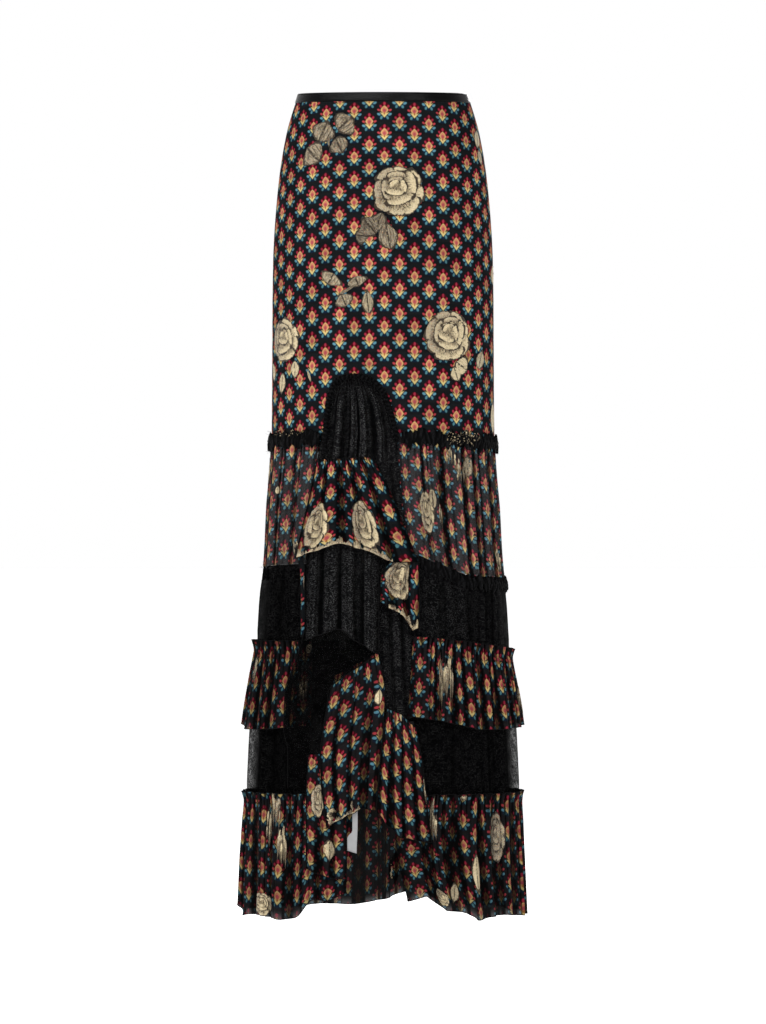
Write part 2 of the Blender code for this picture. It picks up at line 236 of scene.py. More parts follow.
FRILL_ROWS = (Row(0, (3.6,), 2.4), Row(1, (3.6,), 2.4))
KNEE_ROWS = (Row(0, (3.6,), 2.6), Row(1, (3.4,), 2.6))
KNEE_BACK_ROWS = (Row(0, (3.6, 3.4), 2.2), Row(1, (3.4, 3.2), 2.2))
TIER2_ROWS = (Row(0, (0,), 0.8), Row(0.15, (0,), 2.2), Row(0.5, (0,), 3.6), Row(1, (0,), 3.0))
TIER3_ROWS = (Row(0, (0,), 0.6), Row(0.3, (0,), 2.2), Row(0.8, (0,), 2.6), Row(1, (0,), 0.5))
TIER4_ROWS = (
    Row(0, (5.0,), 1.6),
    Row(0.12, (2.9,), 0.9),
    Row(0.40, (4.5,), 4.0),
    Row(0.70, (6.0,), 5.4),
    Row(1, (7.5,), 6.2),
)
TIER5_ROWS = (Row(0, (0,), 0.5), Row(0.5, (0,), 1.8), Row(0.9, (0,), 2.2), Row(1, (0,), 0.4))
TIER6_ROWS = (
    Row(0, (4.5,), 1.6),
    Row(0.08, (2.8,), 1.2),
    Row(0.25, (2.0,), 4.4),
    Row(0.55, (1.0,), 7.0),
    Row(1, (0.0,), 8.6),
)
TIER6_LEFT_ROWS = (
    Row(0, (4.5, 1.8), 1.6),
    Row(0.08, (2.8, 1.8), 1.2),
    Row(0.25, (2.0, 1.4), 4.4),
    Row(0.55, (1.0, 0.6), 7.0),
    Row(1, (0.0,), 8.6),
)

SHEETS = (
    Sheet("seam_frill_left", "frill", LEFT_SEAM, across(-86), along(HIP_SEAM, -4),
          along(HIP_SEAM, 17), 5, FRILL_ROWS, EVEN),
    Sheet("seam_frill_right", "frill", across(25), RIGHT_SEAM, along(HIP_SEAM, -5),
          along(HIP_SEAM, 16), 6, FRILL_ROWS, EVEN),
    Sheet("seam_frill_back", "frill", RIGHT_SEAM, BACK_END, along(HIP_SEAM, -4.5),
          along(HIP_SEAM, 17), 12, FRILL_ROWS, EVEN),
    Sheet("tier2_left", "chiffon", LEFT_SEAM, across(-88, -97, -104), along(HIP_SEAM, SEAM_GAP),
          along(KNEE_SEAM), 4, TIER2_ROWS, FADE_RIGHT),
    Sheet("tier2_right", "chiffon", across(19.5, 24, 34), RIGHT_SEAM, along(HIP_SEAM, SEAM_GAP),
          along(KNEE_SEAM), 7, TIER2_ROWS, FADE_LEFT),
    Sheet("tier2_back", "chiffon", RIGHT_SEAM, BACK_END, along(HIP_SEAM, SEAM_GAP),
          along(KNEE_SEAM), 13, TIER2_ROWS, EVEN),
    Sheet("knee_frill_right", "frill", across(50, 51), RIGHT_SEAM, along(KNEE_SEAM, 1),
          along(KNEE_SEAM, 18), 5, KNEE_ROWS, EVEN),
    Sheet("knee_frill_back", "frill", RIGHT_SEAM, BACK_END, along(KNEE_SEAM, 1),
          along(KNEE_SEAM, 16), 10, KNEE_BACK_ROWS, (1, 1, 1, 0.2)),
    Sheet("tier3_left", "lace", LEFT_SEAM, across(-103), along(KNEE_SEAM, KNEE_GAP),
          along(CALF_SEAM), 3, TIER3_ROWS, FADE_RIGHT),
    Sheet("tier3_right", "lace", across(41), RIGHT_SEAM, along(KNEE_SEAM, KNEE_GAP),
          along(CALF_SEAM), 5, TIER3_ROWS, FADE_LEFT),
    Sheet("tier3_back", "lace", RIGHT_SEAM, BACK_END, along(KNEE_SEAM, KNEE_GAP),
          along(CALF_SEAM), 11, TIER3_ROWS, EVEN),
    Sheet("tier4_left", "chiffon", LEFT_SEAM, across(-96), along(CALF_SEAM, -9),
          level(-868, -882, -881, -878, -874), 5, TIER4_ROWS, (1, 1, 1, 0.5, 0.2)),
    Sheet("tier4_right", "chiffon", across(41, 37, 33), RIGHT_SEAM, along(CALF_SEAM, -9),
          level(-860, -868, -880, -881, -879, -874), 7, TIER4_ROWS, FADE_LEFT),
    Sheet("tier4_back", "chiffon", RIGHT_SEAM, BACK_END, along(CALF_SEAM, -9),
          level(-874, -881, -878, -882, -879, -868), 14, TIER4_ROWS, EVEN),
    Sheet("tier5_left", "lace", LEFT_SEAM, across(-100), along(CALF_SEAM, SEAM_GAP),
          level(-980), 3, TIER5_ROWS, (1, 1, 0)),
    Sheet("tier5_right", "lace", across(42), RIGHT_SEAM, along(CALF_SEAM, SEAM_GAP),
          level(-980), 4, TIER5_ROWS, FADE_LEFT),
    Sheet("tier5_back", "lace", RIGHT_SEAM, BACK_END, along(CALF_SEAM, SEAM_GAP),
          level(-980), 9, TIER5_ROWS, EVEN),
    Sheet("tier6_left", "chiffon", LEFT_SEAM, across(-50), level(-970, -968),
          level(-1123, -1127, -1141, -1138, -1137, -1139, -1142, -1138, -1112, -1114, -1102),
          6, TIER6_LEFT_ROWS, FADE_RIGHT),
    Sheet("tier6_right", "chiffon", across(20, 16, 22, 34), RIGHT_SEAM, level(-968, -970),
          level(-1114, -1106, -1127, -1130, -1143, -1137, -1137, -1139, -1141, -1140, -1140),
          7, TIER6_ROWS, FADE_LEFT),
    Sheet("tier6_back", "chiffon", RIGHT_SEAM, BACK_END, level(-970),
          level(-1140, -1138, -1141, -1137, -1140, -1136, -1118, -1134, -1141, -1138, -1142,
                -1138, -1140, -1134, -1123), 14, TIER6_ROWS, EVEN),
    Sheet("arch_lace", "lace", across(-64, -80, -86, -93), across(-18, 13, 24, 26),
          level(-388), level(-513), 6,
          (Row(0, (-2.2,), 0), Row(0.12, (-2.2,), 0), Row(0.4, (-2.0,), 4.0),
           Row(0.8, (-2.0,), 4.0), Row(1, (-2.2,), 2.4)), FADE_BOTH),
    Sheet("long_lace", "lace", across(-24, -12, -10, -2), across(26, 42, 46, 50),
          level(-510), level(-868, -862), 3,
          (Row(0, (-2.2,), 0.8), Row(0.3, (-2.6,), 2.0), Row(0.7, (-2.6,), 2.0),
           Row(1, (-2.6,), 1.0)), FADE_BOTH),
    Sheet("front_ruffle", "crepe", across(-90, -97, -106, -115), across(-15, 5, 20, 33, 47),
          level(-508, -504), level(-644, -634, -623, -633, -649, -649), 5,
          (Row(0, (2.7,), 1.0), Row(0.12, (4.6,), 3.0), Row(0.3, (7.0,), 4.0),
           Row(0.7, (9.5,), 5.0), Row(1, (11.5,), 5.5)), EVEN),
    Sheet("right_tail", "crepe", across(12, -3, -4, -4), across(47, 48, 48),
          level(-645), level(-704, -710, -717, -722, -744, -739), 3,
          (Row(0, (10.6,), 0.3), Row(0.4, (9.0,), 4.5), Row(1, (8.0,), 5.0)), EVEN),
    Sheet("left_tail", "crepe", across(-111, -110, -111), across(-104.5),
          level(-643.4, -641.2), level(-752, -750), 1,
          (Row(0, (11.5,), 0), Row(0.15, (7.0,), 0.5), Row(1, (4.8,), 1.0)), EVEN),
    Sheet("lace_cascade", "lace", across(-103), across(-5.6), level(-612),
          level(-757, -748, -740, -759, -776), 4,
          (Row(0, (3.0,), 1.5), Row(0.25, (4.8,), 3.0), Row(0.6, (8.5,), 4.0),
           Row(1, (10.8,), 5.0)), EVEN),
    Sheet("lace_veil", "lace", across(-100, -112, -129, -129, -129, -129),
          across(-8, -8, -73, -78, -78, -78), level(-728), level(-961), 3,
          (Row(0, (7.8,), 0), Row(0.2, (8.0, 8.2), 0.3), Row(0.34, (8.9, 8.5, 8.2), 0.3),
           Row(0.4, (9.9, 9.4, 8.8, 7.4, 6.0), 0), Row(0.5, (11.4, 11.0, 10.2, 6.5, 3.6), 0),
           Row(0.62, (12.9, 12.6, 12.0, 7.5, 3.6), 0), Row(0.67, (12.9, 12.6, 12.0, 7.5, 3.6), 0),
           Row(0.76, (3.6,), 0), Row(1, (3.6,), 0)), EVEN),
    Sheet("print_cascade_left", "chiffon", across(-66, -77, -83, -81, -74),
          across(-7, 3.5, 0.3, -5, -9.5), level(-805, -795, -783, -770),
          level(-1013, -1003, -994, -986, -989), 4,
          (Row(0, (4.6,), 0), Row(0.2, (5.2,), 0.5), Row(0.5, (9.6, 8.5), 2.5),
           Row(0.8, (10.0, 9.0), 4.0), Row(1, (10.0, 9.0), 4.5)), EVEN),
    Sheet("print_cascade_right", "chiffon", across(5, 1, -3.4, -6, -8.8),
          across(44, 51.5, 55.5, 59.5, 64), level(-849, -857.5, -877),
          level(-991, -1009, -1025, -1028, -1031, -1033), 4,
          (Row(0, (5.5,), 0), Row(0.2, (6.5, 7.0), 1.5), Row(0.6, (8.4,), 3.0),
           Row(1, (9.5,), 4.5)), EVEN),
    Sheet("print_cascade_under", "chiffon", across(-100, -103, -103, -103),
          across(-55, -50, -48.5, -48.5), level(-914, -910), level(-1069, -1077, -1082, -1083), 3,
          (Row(0, (5.6,), 0), Row(0.6, (5.8,), 1.2), Row(1, (6.5,), 4.5)), EVEN),
    Sheet("care_label", "label", across(*[-41] * 7, *[-48] * 4), across(-34, -34, -35.5),
          level(-980), level(-1044, -1048), 1,
          (Row(0, (5.6,), 0), Row(0.4, (5.6,), 0), Row(0.6, (5.6,), 0), Row(1, (5.6,), 0)), EVEN),
)

# How a sheet is gathered: the small gathers' pitch, depth and reach down from the stitch line,
# where that line is, how far a frilled heading flares, the finer folds, and the hem's turned edges.
Gather = namedtuple("Gather", "pitch depth reach stitch heading second hems")
GATHERS = {
    "tier2": Gather(9.0, 1.3, 60, 0.0, 0.0, 0.30, ""),
    "tier3": Gather(12.0, 0.5, 30, 0.0, 0.0, 0.45, ""),
    "tier4": Gather(8.0, 2.0, 46, 0.10, 2.4, 0.34, "top bottom"),
    "tier5": Gather(12.0, 0.5, 30, 0.0, 0.0, 0.45, ""),
    "tier6": Gather(8.5, 1.7, 44, 0.065, 2.4, 0.34, "top bottom"),
    "arch_lace": Gather(5.6, 1.1, 120, 0.05, 0.0, 0.45, ""),
    "long_lace": Gather(8.0, 0.4, 60, 0.0, 0.0, 0.30, ""),
    "front_ruffle": Gather(8.0, 1.1, 30, 0.03, 1.2, 0.16, "top left bottom"),
    "right_tail": Gather(12.0, 0.2, 30, 0.0, 0.0, 0.15, "left bottom right"),
    "left_tail": Gather(12.0, 0.0, 30, 0.0, 0.0, 0.0, "left bottom right"),
    "lace_cascade": Gather(10.0, 0.4, 40, 0.0, 0.0, 0.25, "bottom right"),
    "lace_veil": Gather(14.0, 0.2, 60, 0.0, 0.0, 0.4, "left right"),
    "print_cascade_left": Gather(9.0, 0.6, 50, 0.0, 0.0, 0.22, "top left bottom right"),
    "print_cascade_right": Gather(9.0, 0.6, 50, 0.0, 0.0, 0.22, "top left bottom right"),
    "print_cascade_under": Gather(11.0, 0.3, 40, 0.0, 0.0, 0.22, "left bottom right"),
    "care_label": Gather(9.0, 0.0, 40, 0.0, 0.0, 0.0, ""),
}
# How much more the lace shows through beside the side seams, where nothing is gathered under it.
THIN_SIDES = {"tier3": 0.2, "tier5": 0.6}
# How sheer a printed tier or the lace veil is all over.
SHEER = {"tier2": 0.8, "lace_veil": 0.5}
# How much darker each sheet is painted all over: partly its more muted print, and partly painted
# shade in deep folds, on the left side and on inner layers seen through the opening.
SHADE = {"tier2": 0.02, "tier3": 0.35, "tier3_left": 0.62, "tier4": 0.46, "tier4_left": 0.68,
         "tier5": 0.62, "tier5_left": 0.72, "tier6": 0.54, "tier6_back": 0.6, "front": 0.34,
         "right": 0.2, "left": 0.3, "long": 0.15, "print": 0.40, "lace_cascade": 0.1,
         "lace_veil": 0.7}
# How full a sheet's print is gathered.
FULLNESS = {"tier2": 1.38, "tier4": 1.35, "tier6": 1.30, "front": 1.22, "print": 1.15}
PRINT_SWELL = 0.4
# How deep a chiffon hem's sheer band is, and how sheer.
HEM_BAND = 7.0
HEM_SHEER = 0.35
# A sheet's grid: its steps across and down, its most columns and rows, and how its rows crowd up.
COLUMN_STEP = 1.5
ROW_STEP = 3.0
MOST_COLUMNS = 420
MOST_ROWS = 76
CROWDING = 1.25
# A tier's gathers end flat over this much beside a side seam, where its lace shows through most.
HELD_WITHIN = 14.0
THIN_WITHIN = 13.0
# Finer folds to a main one, how far the main ones lean, and the least reach of small gathers.
FINER = 2.6
LEAN = 0.32
LEAST_REACH = 6
# The least side of a sheet's flat cut, in metres.
LEAST_FLAT = 0.0102


def by_name(table, name, plain):
    """A sheet's own value in a table, or else its tier's, or else the plain one."""
    return table.get(name, table.get(name.split("_")[0], plain))


def pleat(angle):
    """A wave from -1 to 1 with rounded crests and sharp creases."""
    return 2 * np.abs(np.sin(angle / 2)) - 1


def wander(at, seed, pitch, waves=3):
    """A smooth uneven curve about 0: a few sines near a pitch, with lengths and starts by seed."""
    rng = np.random.default_rng(seed)
    total = 0.0
    for _ in range(waves):
        length = pitch * rng.uniform(0.6, 1.7)
        total = total + rng.uniform(0.5, 1.0) * np.sin(TAU * (at / length + rng.uniform()))
    return total / waves


def fold_places(through):
    """Where the gathers' columns lie across a sheet, uneven: through with two slow sines added."""
    shifted = through + 0.35 * np.sin(6 * math.pi * through) / (6 * math.pi)
    return shifted + 0.25 * np.sin(14 * math.pi * through) / (14 * math.pi)


def fold_height(folds, through):
    """Rounded gathers from 0 to 1, some fuller than others, and none at the two ends."""
    wave = 0.5 - 0.5 * np.cos(TAU * folds * through)
    fullness = 0.76 + 0.24 * np.sin(2.4 * folds * through + folds)
    return wave * fullness


def between_rows(down, rows, columns):
    """Each row's distances spread over the columns, blended straight down between the rows."""
    coarse = np.stack([spaced(columns, row.outs) for row in rows])
    stops = np.array([row.down for row in rows])
    total = 0.0
    for step in (-0.02, 0.0, 0.02):
        at = np.clip(down + step, 0, 1)
        i = np.clip(np.searchsorted(stops, at, side="right") - 1, 0, len(stops) - 2)
        t = ((at - stops[i]) / (stops[i + 1] - stops[i]))[:, None]
        total = total + coarse[i] * (1 - t) + coarse[i + 1] * t
    return total / 3


def normals_of(points):
    """The outward normals of a grid whose rows run down and whose columns run to the right."""
    right = np.gradient(points, axis=1)
    down = np.gradient(points, axis=0)
    normal = np.cross(down, right)
    return normal / np.maximum(np.linalg.norm(normal, axis=2, keepdims=True), 1e-9)


def relief_of(out, strength=1.0):
    """How far each point stands out from its neighbours across: 0 in a crease, 1 on a crest.

    The neighbours' level is the mean distance out over a window of columns to both sides, a
    narrow one for the small gathers and a wide one for the main folds. The materials paint shade
    in the creases and light on the crests by this relief.
    """
    total = 0.0
    for window, rise in ((4, 0.75), (15, 2.8)):
        padded = np.pad(out, ((0, 0), (window + 1, window)), mode="edge")
        sums = np.cumsum(padded, axis=1)
        mean = (sums[:, 2 * window + 1:] - sums[:, :-2 * window - 1]) / (2 * window + 1)
        total = total + (out - mean) / rise
    return 0.5 + 0.5 * np.clip(total * strength, -1, 1)


class Cloth:
    """One sheet as a fine grid: its points, its own measure across and down, and its normals."""

    def __init__(self, name, points, measure_across, measure_down, relief=0.5, thin=0.0, shade=0.0):
        self.name = name
        self.tints = np.zeros(points.shape[:2] + (4,))
        self.tints[..., 0] = relief
        self.tints[..., 1] = thin
        self.tints[..., 3] = shade
        self.points = points
        self.across = measure_across
        self.down = measure_down
        self.normals = normals_of(points)

    def lay(self, centre, x, y, lift):
        """Points of a flat drawing about a centre, carried onto the cloth and lifted off it."""
        rows, columns = self.points.shape[:2]
        column = np.interp(centre[0] + x, self.across, np.arange(columns))
        row = np.interp(centre[1] - y, self.down, np.arange(rows))
        c = np.minimum(column.astype(int), columns - 2)
        r = np.minimum(row.astype(int), rows - 2)
        s = (column - c)[..., None]
        t = (row - r)[..., None]
        spot = 0.0
        normal = 0.0
        for dr, wr in ((0, 1 - t), (1, t)):
            for dc, wc in ((0, 1 - s), (1, s)):
                spot = spot + self.points[r + dr, c + dc] * wr * wc
                normal = normal + self.normals[r + dr, c + dc] * wr * wc
        return spot + normal * lift[..., None]

    def crest(self, centre, spots):
        """How well lit the cloth is at some points: its relief at the nearest column, eased."""
        row = int(np.clip(np.searchsorted(self.down, centre[1]), 0, len(self.down) - 1))
        line = self.points[row]
        gap = np.linalg.norm(line[:, None] - spots.reshape(-1, 3)[None], axis=2)
        near = self.tints[row, np.argmin(gap, axis=0), 0].reshape(spots.shape[:2])
        return np.clip(0.25 + 1.1 * near, 0, 1)

    def find(self, x, z, back=False):
        """The measures of the point that shows nearest to x and z, from the front or the back."""
        gap = (self.points[..., 0] - x) ** 2 + (self.points[..., 2] - z) ** 2
        hidden = self.points[..., 1] < 0 if back else self.points[..., 1] > 20
        gap = np.where(hidden & ~np.all(hidden), gap + 1e6, gap)
        row, column = np.unravel_index(np.argmin(gap), gap.shape)
        return self.across[column], self.down[row]

    def coordinates(self):
        """The cloth's measures over the grid, in metres, for its weave and its print."""
        u, v = np.meshgrid(self.across, -self.down)
        return np.stack([u, v], axis=-1) * MM


def steps_along(points, axis):
    """The distances between neighbouring points of a grid, down it (0) or across it (1)."""
    return np.linalg.norm(np.diff(points, axis=axis), axis=2)


def stacked(*channels):
    """Channels spread to one shape and stacked along a new last axis."""
    return np.stack(np.broadcast_arrays(*channels), axis=-1)


def between_edges(sheet, down, u):
    """The angles and heights of a grid between a sheet's four edges, from its shares of each.

    Each edge may follow the others, so they are found again in a few passes.
    """
    height = np.full(u.shape, MIDDLE_HEIGHT)
    for _ in range(EDGE_PASSES):
        left = sheet.left(down, height[:, :1])
        right = sheet.right(down, height[:, -1:])
        turn = left + u * (right - left)
        top = sheet.top(u, turn)
        height = top + down * (sheet.bottom(u, turn) - top)
    return turn, height


def gathered_cloth(sheet, seed):
    """A sheet between its four edges with main folds, finer folds, small gathers and a heading.

    The distance out is the row's layer, plus the row's depth times the rounded main folds, plus a
    share of that depth in finer drifting folds, plus small gathers that die away below the
    stitch line. Above that line the heading flares with the same small gathers.
    """
    gather = by_name(GATHERS, sheet.name, None)
    width = 300.0
    length = 200.0
    for _ in range(2):
        columns = int(np.clip(width / COLUMN_STEP, 16, MOST_COLUMNS))
        rows = int(np.clip(length / ROW_STEP, 14, MOST_ROWS))
        through = np.linspace(0, 1, columns + 1)
        down = np.linspace(0, 1, rows + 1) ** CROWDING
        across_it = fold_places(through)
        u = np.repeat(across_it[None, :], rows + 1, axis=0)
        turn, height = between_edges(sheet, down[:, None], u)
        bare = place(turn, height, 0 * turn)
        width = steps_along(bare, 1).sum(1).max()
        length = steps_along(bare, 0).sum(0).mean()
    run = through * width
    layer = between_rows(down, sheet.rows, across_it)
    depth = np.interp(down, [row.down for row in sheet.rows], [row.depth for row in sheet.rows])
    depth = depth[:, None] * spaced(across_it, sheet.depth_across)[None, :]
    main = fold_height(sheet.folds, through) ** 0.6
    held = 1.0
    if sheet.name.startswith("tier"):
        held = np.clip(np.minimum(run, width - run) / HELD_WITHIN, 0, 1)[None, :]
    drift = 0.9 * np.sin(3.0 * down[:, None] + wander(run, seed + 1, 90)[None, :] * 4)
    fine = pleat(TAU * sheet.folds * FINER * through[None, :] + wander(run, seed, 70) * 3 + drift)
    out = layer + depth * (main[None, :] + gather.second * held * 0.5 * fine)
    phase = TAU * run / gather.pitch + 2.4 * wander(run, seed + 2, 46)
    below = np.maximum(down[:, None] - gather.stitch, 0) * length
    reach = gather.reach * (0.75 + 0.7 * wander(run, seed + 3, 19))
    small = pleat(phase) * (0.75 + 0.5 * wander(run, seed + 4, 25))
    fade = np.exp(-below / np.maximum(reach, LEAST_REACH)[None, :])
    out = out + held * gather.depth * small[None, :] * fade
    if gather.stitch:
        above = np.clip(1 - down[:, None] / gather.stitch, 0, 1)
        out = out + held * gather.heading * above * np.sin(phase * 0.77 + 1.3)[None, :]
        height = height + 1.6 * above * wander(run, seed + 5, 13)[None, :]
    lean = LEAN * depth * np.sin(TAU * sheet.folds * through)[None, :]
    turn = turn + lean / form(height)[0]
    points = place(turn, height, out)
    steps = steps_along(points, 1)
    runs = np.concatenate([np.zeros((rows + 1, 1)), np.cumsum(steps, axis=1)], axis=1)
    share = (runs / runs[:, -1:]).mean(0)
    swell = PRINT_SWELL / (TAU * sheet.folds) * np.sin(TAU * sheet.folds * through)
    full = 1 + (by_name(FULLNESS, sheet.name, 1.08) - 1) * np.cos(turn.mean(0)) ** 2
    share = np.concatenate([[0], np.cumsum(np.diff(share + swell) * (full[1:] + full[:-1]) / 2)])
    drop = steps_along(bare, 0).mean(1)
    measure_down = np.concatenate([[0], np.cumsum(drop)])
    from_side = np.abs(np.abs(np.sin(turn)) * form(height)[0] - form(height)[0])
    thin = by_name(THIN_SIDES, sheet.name, 0.0) * np.clip(1.35 - from_side / THIN_WITHIN, 0, 1)
    if sheet.cloth == "lace":
        thin = thin + by_name(SHEER, sheet.name, 0.0)
    if sheet.cloth == "chiffon":
        from_hem = measure_down[-1] - measure_down[:, None]
        near_hem = HEM_SHEER * np.clip(1.3 - from_hem / HEM_BAND, 0, 1)
        thin = by_name(SHEER, sheet.name, 0.0) + near_hem + 0 * turn
    # The relief and the sheet's shade go into the tints, for the painted shade and light of the
    # materials.
    return Cloth(sheet.name, points, share * runs[:, -1].mean(), measure_down,
                 relief_of(out, 0.3 if sheet.cloth == "lace" else 1.0), np.clip(thin, 0, 1),
                 by_name(SHADE, sheet.name, 0.0))


class Work:
    """Gathers the surfaces of one piece, each with cloth measures, and makes them one mesh."""

    def __init__(self, name, finishes):
        self.name = name
        self.finishes = finishes
        self.points = []
        self.measures = []
        self.petals = []
        self.faces = []
        self.slots = []
        self.count = 0

    def add(self, points, measures, faces, finish, petal=None):
        """Adds points with their measures, tints and faces that number them from 0."""
        points = points.reshape(-1, 3)
        self.points.append(points)
        self.measures.append(np.broadcast_to(measures.reshape(-1, 2), (len(points), 2)))
        if petal is None:
            petal = np.tile([0.5, 0.0, 0.0, 0.0], (len(points), 1))
        self.petals.append(petal.reshape(-1, 4))
        for some in faces:
            self.faces.append(some + self.count)
            self.slots.append(np.full(len(some), self.finishes.index(finish)))
        self.count += len(points)

    def sheet(self, cloth, measures, finish):
        """An open sheet: a grid whose rows run down and columns run right, facing outwards."""
        self.add(cloth.points, measures, [grid_faces(*cloth.points.shape[:2])], finish, cloth.tints)

    def shell(self, cloth, measures, thickness, finish):
        """A closed shell: the sheet, the same sheet moved inwards, and a strip round the edge."""
        rows, columns = cloth.points.shape[:2]
        inner = cloth.points - cloth.normals * thickness
        both = np.concatenate([cloth.points.reshape(-1, 3), inner.reshape(-1, 3)])
        tints = np.concatenate([cloth.tints.reshape(-1, 4)] * 2)
        twice = np.concatenate([measures.reshape(-1, 2)] * 2)
        index = np.arange(rows * columns).reshape(rows, columns)
        loop = np.concatenate([index[0, :-1], index[:-1, -1], index[-1, :0:-1], index[:0:-1, 0]])
        after = np.roll(loop, -1)
        far = rows * columns
        rim = np.stack([loop, after, after + far, loop + far], axis=1)
        front = grid_faces(rows, columns)
        self.add(both, twice, [front, front[:, ::-1] + far, rim], finish, tints)

    def tube(self, path, radius, finish, sides=6):
        """A round cord along a path: rings square to the path, closed at both ends by a cap."""
        path = np.asarray(path, float)
        ahead = np.gradient(path, axis=0)
        ahead /= np.maximum(np.linalg.norm(ahead, axis=1, keepdims=True), 1e-9)
        outward = path * (1, 1, 0)
        outward -= ahead * (ahead * outward).sum(1, keepdims=True)
        outward /= np.maximum(np.linalg.norm(outward, axis=1, keepdims=True), 1e-9)
        beside = np.cross(ahead, outward)
        angle = np.arange(sides) * TAU / sides
        radius = np.broadcast_to(radius, (len(path),))[:, None, None]
        ring = outward[:, None] * np.cos(angle)[:, None] + beside[:, None] * np.sin(angle)[:, None]
        points = path[:, None] + ring * radius
        index = np.arange(len(path) * sides).reshape(len(path), sides)
        index = np.concatenate([index, index[:, :1]], axis=1)
        a = index[:-1, :-1]
        b = index[:-1, 1:]
        c = index[1:, 1:]
        d = index[1:, :-1]
        walls = np.stack([a, b, c, d], axis=-1).reshape(-1, 4)
        caps = [index[:1, -2::-1], index[-1:, :-1]]
        run = np.concatenate([[0], np.cumsum(np.linalg.norm(np.diff(path, axis=0), axis=1))])
        measures = np.stack(np.broadcast_arrays(run[:, None], angle[None, :] * 1.0), axis=-1) * MM
        self.add(points, measures, [walls, *caps], finish)

    def finish(self):
        """Makes the mesh object at the origin, with its measures as a UV map, shaded smooth."""
        mesh = bpy.data.meshes.new(self.name)
        points = np.concatenate(self.points) * MM
        loops = np.concatenate([some.reshape(-1) for some in self.faces])
        totals = np.concatenate([np.full(len(some), some.shape[1]) for some in self.faces])
        mesh.vertices.add(len(points))
        mesh.vertices.foreach_set("co", points.astype(np.float32).reshape(-1))
        mesh.loops.add(len(loops))
        mesh.loops.foreach_set("vertex_index", loops.astype(np.int32))
        mesh.polygons.add(len(totals))
        starts = np.concatenate([[0], np.cumsum(totals)[:-1]])
        mesh.polygons.foreach_set("loop_start", starts.astype(np.int32))
        mesh.polygons.foreach_set("material_index", np.concatenate(self.slots).astype(np.int32))
        mesh.update(calc_edges=True)
        cloth = mesh.uv_layers.new(name="cloth")
        measures = np.concatenate(self.measures)[loops]
        cloth.data.foreach_set("uv", measures.astype(np.float32).reshape(-1))
        petal = mesh.attributes.new("petal", "FLOAT_COLOR", "POINT")
        petal.data.foreach_set("color", np.concatenate(self.petals).astype(np.float32).reshape(-1))
        for name in self.finishes:
            mesh.materials.append(finish(name))
        mesh.shade_smooth()
        made = bpy.data.objects.new(self.name, mesh)
        bpy.context.scene.collection.objects.link(made)
        return made


def grid_faces(rows, columns, around=False):
    """A grid's four-sided faces, seen from outside; around joins its last column to its first."""
    index = np.arange(rows * columns).reshape(rows, columns)
    if around:
        index = np.concatenate([index, index[:, :1]], axis=1)
    corners = [index[:-1, :-1], index[1:, :-1], index[1:, 1:], index[:-1, 1:]]
    return np.stack(corners, axis=-1).reshape(-1, 4)


def one_layer_area(points):
    """A grid's area in square metres."""
    right = points[:-1, 1:] - points[:-1, :-1]
    down = points[1:, :-1] - points[:-1, :-1]
    return np.linalg.norm(np.cross(right, down), axis=2).sum() * MM * MM


def declare(work, trim, cloth):
    """Puts a piece and its trim under the root empty and hides the solid of the same name.

    The flat cut of what shows is worked out, but not used.
    """
    made = [one.finish() for one in (work, trim) if one.count]
    for one in made:
        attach(one, "root")
        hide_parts(cloth.name)
    lengths = steps_along(cloth.points, 0).sum(0)
    widths = steps_along(cloth.points, 1).sum(1)
    width = max(float(widths.max()) * MM, LEAST_FLAT)
    length = float(lengths.max()) * MM
    area = min(one_layer_area(cloth.points), width * length)


# The woven flowers


Bloom = namedtuple("Bloom", "sheet kind x z width height turn tone")
